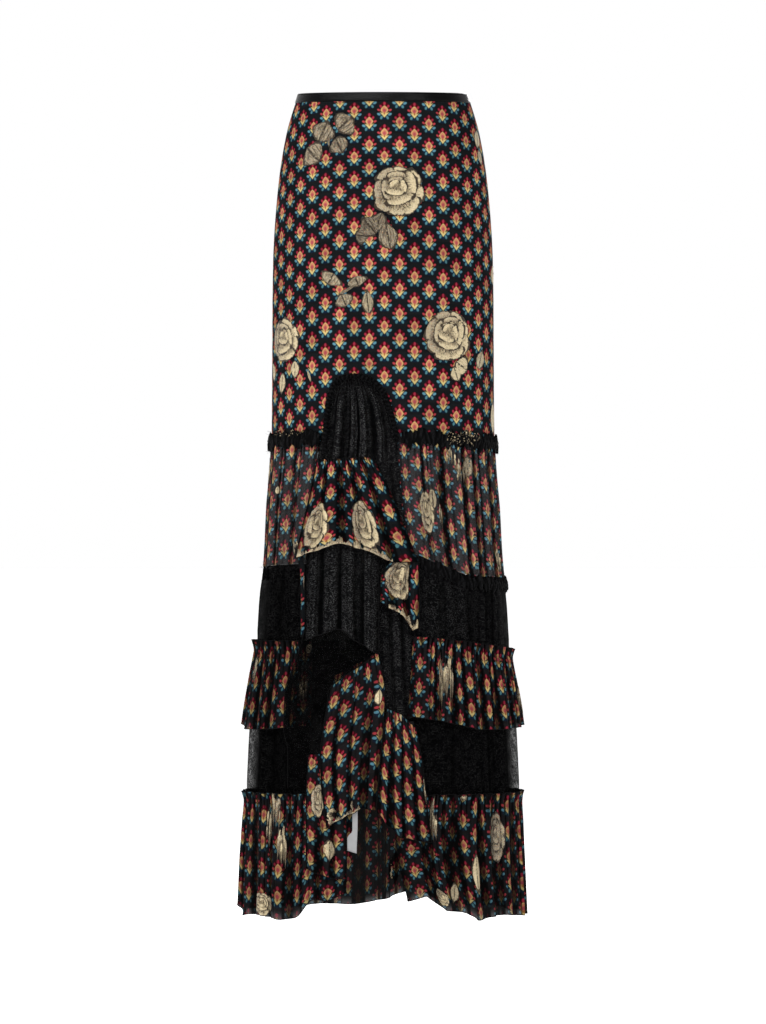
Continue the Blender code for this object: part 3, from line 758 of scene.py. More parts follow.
# Each sheet's flowers: kind, x, z, width, height, turn and tone.
FLOWERS = {
    "upper_front": (
        ("leaf", -83, -54, 40, 30, -20, 0.3), ("leaf", -53, -43, 40, 27, -45, 0.3),
        ("leaf", -61, -73, 29, 25, 30, 0.28), ("leaf", -97, -85, 39, 31, 50, 0.35),
        ("stem", -75, -67, 4, 19, 10, 0.35), ("rose", 21, -137, 72, 69, 8, 1.0),
        ("leaf", -18, -186, 33, 30, 40, 0.2), ("leaf", 7, -200, 28, 39, 10, 0.3),
        ("leaf", -29, -199, 25, 19, 80, 0.2), ("leaf", -6, -180, 22, 28, -20, 0.25),
        ("leaf", -72, -258, 36, 18, -30, 0.45), ("leaf", -36, -262, 30, 15, 20, 0.4),
        ("leaf", -54, -288, 28, 19, 25, 0.4), ("leaf", -21, -291, 17, 33, 5, 0.5),
        ("stem", -50, -274, 4, 36, -60, 0.4), ("leaf", 131, -62, 19, 28, -25, 0.7),
        ("leaf", 135, -87, 14, 22, 15, 0.6), ("rose", 91, -337, 70, 70, -6, 1.0),
        ("leaf", 109, -378, 30, 23, 60, 0.9), ("leaf", 135, -369, 19, 28, -20, 0.6),
        ("leaf", 101, -389, 19, 22, 20, 0.9), ("rose", -138, -342, 62, 58, 0, 0.9),
        ("leaf", -122, -382, 17, 25, 0, 0.8), ("leaf", -140, -401, 17, 30, -10, 0.85),
        ("leaf", -152, -385, 14, 28, 15, 0.8), ("stem", -102, -392, 4, 19, 20, 0.7),
        ("leaf", 153, -249, 22, 30, 0, 0.8), ("leaf", 153, -449, 22, 47, 0, 0.8),
    ),
    "tier2_right": (
        ("streak", 90, -501, 10, 38, 0, 1.0), ("streak", 104, -518, 13, 44, 0, 1.0),
        ("streak", 112, -525, 9, 40, 0, 1.0), ("leaf", 117, -518, 17, 30, 0, 0.45),
        ("rose", 61, -580, 30, 61, 0, 0.95), ("streak", 80, -587, 7, 41, 0, 0.7),
        ("streak", 160, -647, 11, 39, 0, 0.95), ("leaf", 69, -561, 11, 30, 0, 0.6),
    ),
    "tier2_left": (
        ("streak", -159, -521, 6, 47, 0, 0.9), ("streak", -157, -560, 6, 36, 0, 0.8),
        ("leaf", -147, -549, 10, 12, 0, 1.0), ("streak", -120, -630, 15, 22, 0, 0.8),
        ("streak", -106, -634, 10, 22, 0, 0.9),
    ),
    "front_ruffle": (
        ("rose", -90, -599, 37, 62, 4, 1.0), ("rose", -28, -599, 39, 69, 0, 0.9),
    ),
    "right_tail": (
        ("rose", 18, -673, 40, 61, 0, 0.85), ("streak", 15, -669, 6, 39, 0, 1.0),
        ("streak", 36, -734, 14, 25, -30, 1.0),
    ),
    "left_tail": (
        ("streak", -108, -677, 6, 25, 0, 0.9),
    ),
    "tier4_right": (
        ("streak", 87, -806, 28, 69, 0, 0.75), ("streak", 80, -825, 8, 55, 0, 0.9),
        ("streak", 190, -843, 7, 47, 0, 0.6),
    ),
    "tier4_left": (
        ("streak", -177, -797, 8, 41, 0, 0.6), ("streak", -110, -825, 17, 36, 0, 0.5),
        ("leaf", -102, -767, 19, 14, 40, 0.6),
    ),
    "tier6_left": (
        ("streak", -156, -1013, 19, 61, 0, 0.8), ("streak", -138, -1039, 17, 72, 0, 0.9),
        ("streak", -148, -994, 14, 55, 0, 0.7), ("streak", -194, -1068, 10, 99, 0, 0.9),
        ("rose", -167, -1122, 36, 30, 0, 0.95),
    ),
    "tier6_right": (
        ("rose", 155, -1031, 39, 63, 0, 0.45), ("leaf", 129, -1075, 21, 52, 0, 1.0),
        ("rose", 80, -1109, 22, 22, 0, 1.0), ("leaf", 99, -1104, 19, 30, -20, 0.95),
        ("streak", 67, -1000, 12, 69, 0, 0.8), ("streak", 111, -974, 11, 11, 0, 0.8),
    ),
    "print_cascade_left": (
        ("streak", -73, -997, 19, 19, 60, 0.85), ("streak", -43, -989, 28, 11, 80, 0.9),
        ("leaf", -4, -834, 10, 22, 0, 1.0),
    ),
    "print_cascade_under": (
        ("rose", -89, -976, 22, 47, 0, 0.85), ("leaf", -73, -1044, 19, 28, 0, 0.8),
    ),
    "print_cascade_right": (
        ("leaf", 25, -860, 11, 14, 0, 0.9), ("streak", 58, -962, 7, 41, 0, 0.7),
    ),
    "upper_back": (
        ("rose", 62, -118, 70, 68, 12, 1.0), ("leaf", 30, -150, 30, 24, -40, 0.3),
        ("leaf", 44, -168, 26, 34, 15, 0.25), ("leaf", -86, -96, 32, 20, 35, 0.4),
        ("leaf", -64, -112, 28, 18, -25, 0.4), ("leaf", -72, -88, 22, 26, 10, 0.35),
        ("rose", -72, -262, 70, 70, -10, 1.0), ("leaf", -50, -304, 30, 22, 50, 0.85),
        ("leaf", -84, -312, 20, 28, -10, 0.9), ("leaf", 60, -272, 34, 18, -30, 0.45),
        ("leaf", 84, -262, 26, 16, 25, 0.4), ("leaf", 74, -296, 18, 32, 0, 0.5),
        ("rose", 96, -404, 64, 62, 4, 0.95), ("leaf", 70, -436, 26, 22, -50, 0.8),
        ("leaf", -112, -420, 30, 20, 40, 0.4), ("leaf", -92, -440, 22, 30, 0, 0.45),
    ),
    "tier2_back": (
        ("rose", 88, -560, 32, 62, 0, 0.95), ("streak", 30, -520, 8, 48, 0, 0.85),
        ("leaf", -40, -600, 18, 34, 0, 0.8), ("rose", -96, -574, 30, 58, 0, 0.6),
        ("streak", -128, -520, 7, 40, 0, 0.9),
    ),
    "tier4_back": (
        ("streak", 112, -818, 20, 60, 0, 0.8), ("rose", 12, -832, 30, 50, 0, 0.9),
        ("streak", -108, -812, 16, 58, 0, 0.7),
    ),
    "tier6_back": (
        ("rose", 124, -1062, 38, 60, 0, 0.6), ("streak", 70, -1010, 14, 66, 0, 0.85),
        ("leaf", 18, -1090, 20, 48, 0, 0.95), ("rose", -58, -1050, 36, 62, 0, 0.9),
        ("streak", -128, -1030, 16, 76, 0, 0.8), ("leaf", -150, -1100, 20, 30, 0, 0.95),
    ),
}
BLOOMS = [Bloom(sheet, *row) for sheet, rows in FLOWERS.items() for row in rows]
PETAL_RINGS = 5
PETAL_SIDES = 30
FIRST_LIFT = 0.30
LIFT_STEP = 0.04
THREADS = 9

Petal = namedtuple("Petal", "x y turn half_width half_length leaf tone")

# A full-blown rose, from its outer petals in to the bud, which sits a little up and to the left.
ROSE = (
    Petal(0.60, 0.34, -58, 0.44, 0.40, 0, 1.00),
    Petal(0.64, -0.20, -104, 0.44, 0.40, 0, 0.92),
    Petal(0.20, 0.68, -14, 0.46, 0.34, 0, 0.80),
    Petal(-0.34, 0.64, 24, 0.42, 0.34, 0, 0.52),
    Petal(-0.68, 0.14, 88, 0.50, 0.32, 0, 0.44),
    Petal(-0.54, -0.40, 132, 0.42, 0.36, 0, 0.50),
    Petal(-0.10, -0.66, 178, 0.46, 0.34, 0, 0.76),
    Petal(0.36, -0.58, 212, 0.46, 0.34, 0, 1.00),
    Petal(0.36, 0.16, -84, 0.56, 0.34, 0, 0.94),
    Petal(0.02, 0.54, -6, 0.42, 0.26, 0, 0.66),
    Petal(0.02, -0.24, 184, 0.56, 0.34, 0, 0.86),
    Petal(-0.40, 0.16, 96, 0.44, 0.26, 0, 0.58),
    Petal(0.14, 0.22, -76, 0.38, 0.26, 0, 1.00),
    Petal(-0.08, 0.04, 172, 0.42, 0.26, 0, 0.90),
    Petal(-0.04, 0.40, 8, 0.30, 0.18, 0, 0.60),
    Petal(-0.06, 0.26, 30, 0.26, 0.24, 0, 1.00),
)


def rose_petals(seed):
    """The rose's petals, each moved, turned and sized a little differently for every rose."""
    rng = np.random.default_rng(seed)
    petals = []
    for petal in ROSE:
        shift = rng.uniform(-0.05, 0.05, 2)
        grow = rng.uniform(0.9, 1.12)
        petals.append(petal._replace(x=petal.x + shift[0], y=petal.y + shift[1],
                                     turn=math.radians(petal.turn + rng.uniform(-14, 14)),
                                     half_width=petal.half_width * grow,
                                     half_length=petal.half_length * grow,
                                     tone=petal.tone * rng.uniform(0.85, 1.0)))
    return petals


def streak_petals(seed):
    """Gold seen edge-on in deep gathers: uneven slivers side by side, some long and some short."""
    rng = np.random.default_rng(seed)
    petals = []
    for i in range(9):
        x = -0.8 + 0.2 * i + rng.uniform(-0.12, 0.12)
        length = rng.uniform(0.22, 0.75)
        petals.append(Petal(x, rng.uniform(-1, 1) * (0.95 - length), rng.uniform(-0.12, 0.12),
                            rng.uniform(0.12, 0.30), length, 0.0, rng.uniform(0.45, 1)))
    return petals


def lay_bloom(work, cloth, bloom, seed):
    """One woven flower on its cloth, petal over petal.

    A petal is a disc of rings: out to a ruffled oval that is wider towards its tip, scaled and
    turned into place, and lifted a little more than the petal before it.
    """
    back = bloom.sheet.endswith("back")
    centre = cloth.find(bloom.x, bloom.z, back)
    rng = np.random.default_rng(seed)
    if bloom.kind == "rose":
        petals = rose_petals(seed)
    elif bloom.kind == "streak":
        petals = streak_petals(seed)
    else:
        petals = [Petal(0, 0, 0, 1.0, 1.0, 1.0, 1.0)]
    ring = np.linspace(0, 1, PETAL_RINGS + 1)[:, None]
    angle = np.arange(PETAL_SIDES)[None, :] * TAU / PETAL_SIDES
    whole = math.radians(bloom.turn)

    def settle(petal, px, py, lift):
        """A petal's own coordinates turned and scaled into the flower, then laid on the cloth."""
        local = complex(math.cos(petal.turn), math.sin(petal.turn)) * (
            petal.half_width * px + 1j * petal.half_length * py)
        flat = (petal.x + local.real) * bloom.width / 2
        flat = flat + 1j * (petal.y + local.imag) * bloom.height / 2
        flat = flat * complex(math.cos(whole), math.sin(whole))
        spots = cloth.lay(centre, flat.real, flat.imag, lift)
        measures = np.stack([centre[0] + flat.real, flat.imag - centre[1]], axis=-1) * MM
        return spots, measures

    for i, petal in enumerate(petals):
        phase = 1.7 * i + seed
        lobes = 0.08 * np.sin(3 * angle + phase) + 0.06 * np.sin(5 * angle + 2 * phase)
        fringe = 0.045 * np.sin(13 * angle + 3 * phase)
        edge = 1 + (lobes + fringe) * (2.4 if bloom.kind == "streak" else 1.0) * ring**2
        px = ring * np.cos(angle) * edge
        py = ring * np.sin(angle) * edge
        if petal.leaf:
            drawn = px * (1 - 0.45 * np.abs(py) ** 2)
        else:
            drawn = px * (1 + 0.2 * py)
        lift = FIRST_LIFT + LIFT_STEP * i + 0.10 * (1 - ring**2) + 0.10 * py
        spots, measures = settle(petal, drawn, py, lift)
        kept = slice(PETAL_SIDES - 1, None)
        first = 1 + np.arange(PETAL_SIDES)
        fan = np.stack([np.zeros(PETAL_SIDES, int), first, np.roll(first, -1)], axis=1)
        discs = grid_faces(PETAL_RINGS, PETAL_SIDES, around=True) + 1
        # Painted shade: the flower's tone is lower where it lies in the cloth's creases.
        tone = bloom.tone * petal.tone * (0.45 + 0.55 * cloth.crest(centre, spots))
        tint = stacked(0.5 + 0.5 * px, 0.5 + 0.5 * py, tone, petal.leaf)
        work.add(spots.reshape(-1, 3)[kept], measures.reshape(-1, 2)[kept], [fan, discs],
                 "woven_gold", tint.reshape(-1, 4)[kept])
        if math.hypot(petal.x, petal.y) > 0.5 or petal.leaf:
            out = rng.uniform(0, TAU, THREADS)[:, None]
            reach = 0.93 + np.array([0, 0.5, 1.0]) * rng.uniform(0.06, 0.28, THREADS)[:, None]
            bend = np.array([0, 0.02, 0.07]) * rng.uniform(-3, 3, THREADS)[:, None]
            lift = 0.35 + np.array([0, 0.25, 0.35]) * rng.uniform(0.2, 1.4, THREADS)[:, None]
            px = np.cos(out + bend) * reach
            paths, _ = settle(petal, px, np.sin(out + bend) * reach, lift)
            for path in paths:
                work.tube(path, 0.13, "woven_gold", 3)


# Where a hem carries a band of metal thread: from and to, as shares of the hem, depth and tone.
HEM_GOLD = {
    "front_ruffle": (0.02, 0.80, 9.5, 0.62),
    "right_tail": (0.20, 0.98, 9.0, 0.8),
    "print_cascade_left": (0.12, 0.70, 5.0, 0.6),
}


def lay_band(work, cloth, low, high, depth, tone, seed):
    """A band of metal thread along a sheet's lower edge, with a ragged upper side."""
    run = np.arange(low * cloth.across[-1], high * cloth.across[-1], 1.3)[None, :]
    ragged = depth * (0.7 + 0.8 * wander(run, seed, 17) + 0.6 * wander(run, seed + 1, 4.5))
    up = np.linspace(1, 0, 6)[:, None] * np.maximum(ragged, 1.0)
    lift = 0.30 + 0.12 * np.sin(run / 1.9) + 0 * up
    points = cloth.lay((0.0, cloth.down[-1] - 0.3), run + 0 * up, up, lift)
    bright = 0.72 + 0.9 * wander(run, seed + 2, 16) + 1.3 * wander(run + 9 * up, seed + 3, 3.4)
    tints = stacked(0.5 + 0.3 * np.sin(run / 4.3), 0.78 - 0.5 * up / depth, tone * bright, 0.0)
    measures = np.stack([run + 0 * up, up], axis=-1) * MM
    work.add(points, measures, [grid_faces(*up.shape)], "woven_gold", np.clip(tints, 0, 1))


# Shader maths


class Wire:
    """A shader socket that arithmetic can be written with: each step adds a Math node."""

    def __init__(self, board, socket):
        self.board = board
        self.socket = socket

    def math(self, operation, *values):
        """A Math node's result for the given values in order."""
        inputs = {i: value for i, value in enumerate(values)}
        return self.board.node("ShaderNodeMath", {"operation": operation}, inputs)

    def __add__(self, other):
        return self.math("ADD", self, other)

    __radd__ = __add__

    def __mul__(self, other):
        return self.math("MULTIPLY", self, other)

    __rmul__ = __mul__

    def __sub__(self, other):
        return self.math("SUBTRACT", self, other)

    def __rsub__(self, other):
        return self.math("SUBTRACT", other, self)

    def __truediv__(self, other):
        return self.math("DIVIDE", self, other)

    def __pow__(self, other):
        return self.math("POWER", self, other)

    def __abs__(self):
        return self.math("ABSOLUTE", self)

    def part(self):
        """What is left of the value above the whole number below it."""
        return self.math("FRACT", self)

    def whole(self):
        """The whole number below the value."""
        return self.math("FLOOR", self)

    def wave(self):
        """The value's sine."""
        return self.math("SINE", self)

    def times_plus(self, factor, more):
        """The value times a factor, plus more, in one node."""
        return self.math("MULTIPLY_ADD", self, factor, more)

    def both(self, other):
        """The smaller of two masks."""
        return self.math("MINIMUM", self, other)

    def either(self, other):
        """The larger of two masks."""
        return self.math("MAXIMUM", self, other)

    def step(self, low, high):
        """A soft step from 0 at low to 1 at high."""
        inputs = {0: self, 1: low, 2: high, 3: 0.0, 4: 1.0}
        settings = {"interpolation_type": "SMOOTHSTEP", "clamp": True}
        return self.board.node("ShaderNodeMapRange", settings, inputs)


class Board:
    """A material's or world's nodes: one method adds any node, the rest name the usual ones."""

    def __init__(self, owner):
        owner.use_nodes = True
        self.owner = owner
        self.tree = owner.node_tree
        self.shader = self.tree.nodes.get("Principled BSDF")

    def node(self, kind, settings=None, inputs=None, output=0):
        """Adds a node, sets it up, then gives its sockets values or links."""
        made = self.tree.nodes.new(kind)
        for key, value in (settings or {}).items():
            setattr(made, key, value)
        for key, value in (inputs or {}).items():
            self.put(value, made.inputs[key])
        return Wire(self, made.outputs[output])

    def put(self, value, socket):
        """Links a wire to a socket, or sets the socket's own value."""
        if isinstance(value, Wire):
            self.tree.links.new(value.socket, socket)
        elif hasattr(value, "__len__") and len(value) == 3 and socket.type == "RGBA":
            socket.default_value = (*value, 1)
        else:
            socket.default_value = value

    def mix(self, mask, below, above):
        """One colour laid over another by a mask."""
        return self.node("ShaderNodeMix", {"data_type": "RGBA"}, {0: mask, 6: below, 7: above}, 2)

    def noise(self, place, scale, detail=2.0, output=0):
        """Soft noise over a place, from 0 to 1."""
        inputs = {"Vector": place, "Scale": scale, "Detail": detail}
        return self.node("ShaderNodeTexNoise", None, inputs, output)

    def cloth(self):
        """The cloth's own measures, in millimetres: across, up, and both as a vector."""
        measured = self.node("ShaderNodeUVMap", {"uv_map": "cloth"})
        big = self.node("ShaderNodeVectorMath", {"operation": "SCALE"},
                        {0: measured, "Scale": 1000.0})
        across_it = self.node("ShaderNodeSeparateXYZ", None, {0: big}, 0)
        up = self.node("ShaderNodeSeparateXYZ", None, {0: big}, 1)
        return across_it, up, big

    def bump(self, height, strength, distance):
        """The shader's normal from a height, in metres of relief."""
        inputs = {"Height": height, "Strength": strength, "Distance": distance}
        self.put(self.node("ShaderNodeBump", None, inputs), self.shader.inputs["Normal"])

    def tint(self, channel):
        """One channel of the mesh's tints.

        On cloth they are relief, by which shade and light are painted, thinness and painted shade,
        on a petal its coordinates, tone and leaf.
        """
        if channel == 3:
            return self.node("ShaderNodeAttribute", {"attribute_name": "petal"}, None, 3)
        kept = self.node("ShaderNodeAttribute", {"attribute_name": "petal"}, None, 0)
        return self.node("ShaderNodeSeparateColor", None, {0: kept}, channel)

    def times(self, tone, factor):
        """A colour made lighter or darker by a factor."""
        return self.node("ShaderNodeVectorMath", {"operation": "SCALE"}, {0: tone, "Scale": factor})

    def set(self, **values):
        """Sets or links the shader's sockets, named with _ for a space."""
        for name, value in values.items():
            self.put(value, self.shader.inputs[name.replace("_", " ")])


def colour(name):
    """A colour of the skirt's own settings, as three numbers."""
    return tuple(getattr(bpy.context.scene.skirt_colours, name))


def size(name):
    """A size of the skirt's own settings, in millimetres."""
    return getattr(bpy.context.scene.skirt_sizes, name) / MM


def oval(x, y, at_x, at_y, lean, half_width, half_length, soft=0.18):
    """A mask that is 1 inside a leaning oval and falls softly to 0 at its edge."""
    c = math.cos(math.radians(lean))
    s = math.sin(math.radians(lean))
    shift_a = -(at_x * c + at_y * s) / half_width
    shift_b = -(at_y * c - at_x * s) / half_length
    a = x.times_plus(c / half_width, y.times_plus(s / half_width, shift_a))
    b = x.times_plus(-s / half_length, y.times_plus(c / half_length, shift_b))
    reach = a.times_plus(a, b * b)
    return reach.step(1 + soft, 1 - soft)


# The motif's ovals, in millimetres from its middle: place, lean, half width, half length, softness.
HALOS = (
    ("wine", (0.0, 4.2, 0, 6.6, 8.6, 0.4)),
    ("navy", (0.0, -8.0, 0, 8.8, 6.0, 0.45)),
)
PETALS = (
    ("crimson", (0.0, 10.8, 0, 1.7, 2.7, 0.5)),
    ("crimson", (5.1, 6.4, -30, 1.6, 2.4, 0.5)),
    ("scarlet", (7.9, 0.9, -55, 1.6, 2.3, 0.5)),
    ("blue", (7.6, -5.5, -62, 1.8, 2.7, 0.5)),
    ("teal", (4.2, -10.6, 20, 1.7, 2.7, 0.5)),
)
CORE = (
    ("rose", (0.0, 0.2, 0, 2.1, 2.8, 0.6)),
    ("rust", (0.0, -4.2, 0, 1.0, 2.1, 0.6)),
)


def foulard(board, ground):
    """The small print: a half-drop repeat of a pointed heart on a calyx, in red and blue petals.

    The cloth is cut into columns, every second one dropped by half the repeat. In each cell the
    distance from the middle line is taken without its sign, so every shape shows on both sides.
    The heart is a diamond with eased sides, and the calyx under it a wedge with a notched top.
    """
    across_it, up, cloth = board.cloth()
    pitch = size("print_across") / 2
    drop = size("print_down")
    columns = across_it / pitch
    column = columns.whole()
    wobble = board.noise(cloth, 0.8, 1.0)
    x = abs((columns.part() - 0.5) * pitch) + (wobble - 0.5) * 1.1
    rows = (up / drop) + (column * 0.5).part()
    y = (rows.part() - 0.5) * drop + (wobble - 0.5) * 0.8
    cell = board.node("ShaderNodeCombineXYZ", None, {0: column, 1: rows.whole()})
    chance = board.node("ShaderNodeTexWhiteNoise", {"noise_dimensions": "2D"}, {0: cell}, 0)
    painted = ground
    for name, shape in HALOS + PETALS:
        painted = board.mix(oval(x, y, *shape), painted, colour(name))
    wedge = (x / 5.3 - (y + 4.0) / 6.6).step(1.10, 0.84)
    calyx = wedge.both((y - x * 0.40 + 5.0).step(0.6, -0.6))
    painted = board.mix(calyx, painted, colour("olive"))
    heart = (x / 5.4) ** 1.25 + (abs(y - 1.0) / 6.9) ** 1.25
    painted = board.mix(heart.step(1.14, 0.86), painted, colour("peach"))
    painted = board.mix(heart.step(0.80, 0.60), painted, colour("salmon"))
    for name, shape in CORE:
        painted = board.mix(oval(x, y, *shape), painted, colour(name))
    return board.times(painted, chance.times_plus(0.34, 0.80))


def printed_cloth(name, ground, body, roughness):
    """Printed crepe or chiffon: the repeat on a dark ground, with painted shade in the creases and
    painted light on the crests, darkened per sheet partly by painted shade, and a fine weave.

    Where the cloth is thin, the print fades towards the veil's grey and lets light through. The
    grey is partly the haze of sheer cloth and partly painted light coming through it, taken away in
    the creases.
    """
    board = Board(bpy.data.materials.new(name))
    across_it, up, cloth = board.cloth()
    painted = foulard(board, colour(ground))
    thin = board.tint(1)
    # The veil's grey is partly painted light through thin cloth; it is taken away in the creases.
    thin = thin * board.tint(0).step(0.0, 0.5)
    painted = board.mix(thin * 0.30, painted, colour("veil"))
    mottle = board.noise(cloth, 0.35, 3.0).times_plus(0.7, 0.62)
    # Painted shade in the creases and painted light on the crests, and the sheet's painted shade.
    shade = board.tint(0).step(0.02, 0.85).times_plus(0.94, 0.10) * mottle * (1 - board.tint(3))
    board.set(Base_Color=board.times(painted, shade), Roughness=roughness, Specular_IOR_Level=0.02)
    if body < 1:
        board.set(Alpha=thin.times_plus(-0.10, body))
    weave = (across_it * 9.0).wave() * (up * 9.0).wave() + board.noise(cloth, 1.6, 2.0) * 1.6
    board.bump(weave, 0.35, 0.00012)
    return board.owner


def woven_gold():
    """Metal thread: pale or bronze gold by the petal's tone, with lines, flecks and floats.

    Patches of the brightest colour are painted glints, and the tone also carries painted shade from
    the cloth's creases.
    """
    board = Board(bpy.data.materials.new("woven_gold"))
    across_it, up, cloth = board.cloth()
    px = (board.tint(0) - 0.5) * 2
    py = (board.tint(1) - 0.5) * 2
    tone = board.tint(2)
    leaf = board.tint(3)
    rim = (px.times_plus(px, py * py)) ** 0.5
    coarse = board.noise(cloth, 0.30, 3.0)
    fine = board.noise(cloth, 1.1, 2.0)
    fibres = board.node("ShaderNodeCombineXYZ", None, {0: px * 10.0, 1: py * 1.6, 2: leaf * 37.0})
    fibre = board.noise(fibres, 1.0, 2.0)
    outline = (rim + (coarse - 0.5) * 0.34).step(0.80, 0.90)
    base = (fine * 0.5 - py * 0.62 + coarse * 0.8).step(0.28, 0.86) * (1 - leaf)
    hatch = base * fibre.step(0.60, 0.42)
    midrib = (1 - abs(px + (coarse - 0.5) * 0.3).step(0.05, 0.14)) * leaf * coarse.step(0.36, 0.46)
    bright = tone.step(0.15, 0.95)
    blades = leaf * fibre.step(0.56, 0.40) * (0.85 - bright * 0.6)
    lines = outline.either(hatch * 0.9).either(midrib).either(blades)
    light = board.mix(bright, colour("bronze"), colour("pale_gold"))
    shade = board.mix(bright, colour("bronze_shade"), colour("gold_shade"))
    body = board.mix((base * 0.75).either(coarse.step(0.52, 0.72) * 0.7), light, shade)
    speckle = fine.step(0.56, 0.64) * (1.0 - bright * 0.6)
    body = board.mix(speckle * 0.8, body, colour("gold_line"))
    # Painted glints: patches of the brightest thread stand in for the sparkle of metal.
    body = board.mix(fine.step(0.42, 0.34) * 0.6, body, colour("glint"))
    stain = board.mix(coarse.step(0.46, 0.54), colour("olive"), colour("salmon"))
    stained = board.noise(cloth, 0.45, 1.5).step(0.55, 0.66) * (1.1 - bright)
    body = board.mix(stained * 0.7, body, stain)
    body = board.mix(lines, body, colour("gold_line"))
    # Low tones are darkened further: the tone holds the thread's own tone and the painted crease
    # shade.
    body = board.times(body, tone.step(0.0, 0.32).times_plus(0.9, 0.1))
    board.set(Base_Color=body, Metallic=0.6, Roughness=(coarse * 0.25) + 0.34)
    floats = (across_it * 7.0 + up * 2.0).wave() * 0.3 + fine * 2.6 + coarse * 2.0 - lines * 1.6
    board.bump(floats, 0.8, 0.0006)
    return board.owner


def black_lace():
    """Floral lace: a diamond net, a repeat of open flowers and curling stems, and clothwork.

    The ground gets painted light on the crests of the folds, the threads a painted sheen there, and
    the whole sheet its painted shade.
    """
    board = Board(bpy.data.materials.new("black_lace"))
    across_it, up, cloth = board.cloth()
    warp = board.node("ShaderNodeTexNoise", None,
                      {"Vector": cloth, "Scale": 0.05, "Detail": 1.0}, 1)
    warp = board.node("ShaderNodeVectorMath", {"operation": "SCALE"}, {0: warp, "Scale": 10.0})
    bent = board.node("ShaderNodeVectorMath", {"operation": "ADD"}, {0: cloth, 1: warp})
    bent_x = board.node("ShaderNodeSeparateXYZ", None, {0: bent}, 0)
    bent_y = board.node("ShaderNodeSeparateXYZ", None, {0: bent}, 1)
    pitch = size("lace_flower_pitch")
    columns = bent_x / (pitch / 2)
    stagger = (columns.whole() * 0.5).part()
    x = (columns.part() - 0.5) * (pitch / 2)
    y = ((bent_y / pitch + stagger).part() - 0.5) * pitch
    reach = (x.times_plus(x, y * y)) ** 0.5
    angle = board.node("ShaderNodeMath", {"operation": "ARCTAN2"}, {0: y, 1: x})
    lobes = (angle * 5.0).wave() * 1.6 + 7.6
    edge = abs(reach - lobes)
    flower = 1 - edge.step(0.5, 1.1)
    inner = 1 - abs(reach - lobes * 0.45).step(0.4, 0.9)
    scroll = board.noise(bent, 0.11, 1.5)
    stems = 1 - abs(scroll - 0.5).step(0.012, 0.035)
    scroll_two = board.noise(bent, 0.21, 1.0)
    sprigs = 1 - abs(scroll_two - 0.52).step(0.02, 0.045)
    solid = (1 - reach.step(2.0, 2.8)).either(scroll_two.step(0.60, 0.64))
    work = flower.either(inner).either(stems).either(sprigs * 0.9).either(solid)
    net_a = abs(((across_it + up) * 0.42).part() - 0.5)
    net_b = abs(((across_it - up) * 0.42).part() - 0.5)
    net = (1 - net_a.step(0.14, 0.24)).either(1 - net_b.step(0.14, 0.24))
    grain = board.noise(cloth, 0.7, 2.0)
    # Painted light: the ground is lighter on the crests of the folds.
    lit = board.tint(0).step(0.25, 0.95)
    ground = board.times(colour("lace"), lit.times_plus(5.0, 1.4))
    # Painted glints: sparkling specks of the net and the threads' sheen, shown on the crests.
    specks = board.noise(cloth, 1.2, 1.0).step(0.64, 0.72) * 0.4
    glint = (work * grain.step(0.47, 0.62)).either(specks) * board.tint(0).step(0.15, 0.95)
    # The threads' own grey and their painted sheen over the ground, times the sheet's painted
    # shade.
    tint = board.times(board.mix(glint, ground, colour("lace_thread_sheen")), 1 - board.tint(3))
    board.set(Base_Color=tint, Roughness=0.9, Specular_IOR_Level=0.0)
    thin = board.tint(1)
    dense = work.either(net * 0.995).either(size("lace_ground") * MM)
    open_net = (work * 0.8).either(net * 0.42)
    board.set(Alpha=dense + (open_net - dense) * thin)
    board.bump(work * 1.5 + net * 0.5, 0.6, 0.0004)
    return board.owner


def black_cloth(name, base, roughness, weave_scale, gloss):
    """Plain black cloth with a fine crossed weave and slow changes of depth, and painted light on
    its crests in slow patches.
    """
    board = Board(bpy.data.materials.new(name))
    across_it, up, cloth = board.cloth()
    mottle = board.noise(cloth, 0.4, 3.0)
    # Painted light: paler on the crests of the relief, in slow patches, as a sheen.
    lit = mottle.step(0.25, 0.75) * board.tint(0).step(0.3, 1.0)
    dark, pale = (tuple(c * share for c in colour(base)) for share in (0.4, 3.6))
    shade = board.mix(lit, dark, pale)
    board.set(Base_Color=shade, Roughness=roughness, Specular_IOR_Level=gloss)
    weave = (across_it * weave_scale).wave() * (up * weave_scale).wave()
    board.bump(weave + mottle, 0.3, 0.00015)
    return board.owner


def label_tape():
    """A bare pale satin tape with a fine rib along it."""
    board = Board(bpy.data.materials.new("label_tape"))
    across_it, up, cloth = board.cloth()
    rib = (up * 10.0).wave()
    cloudy = board.noise(cloth, 0.15, 2.0)
    tint = board.mix(cloudy, colour("label"), tuple(c * 0.8 for c in colour("label")))
    board.set(Base_Color=tint, Roughness=0.5, Specular_IOR_Level=0.4)
    board.bump(rib, 0.3, 0.0001)
    return board.owner


FINISHES = {
    "printed_crepe": lambda: printed_cloth("printed_crepe", "crepe_ground", 1.0, 0.78),
    "printed_chiffon": lambda: printed_cloth("printed_chiffon", "chiffon_ground", 0.997, 0.72),
    "woven_gold": woven_gold,
    "black_lace": black_lace,
    "ruched_black": lambda: black_cloth("ruched_black", "frill", 0.50, 6.0, 0.02),
    "black_satin": lambda: black_cloth("black_satin", "satin", 0.22, 9.0, 0.08),
    "hem_thread": lambda: black_cloth("hem_thread", "hem", 0.65, 12.0, 0.02),
    "label_tape": label_tape,
}


def finish(name):
    """The named material, made the first time that it is asked for."""
    return bpy.data.materials.get(name) or FINISHES[name]()


# The pieces


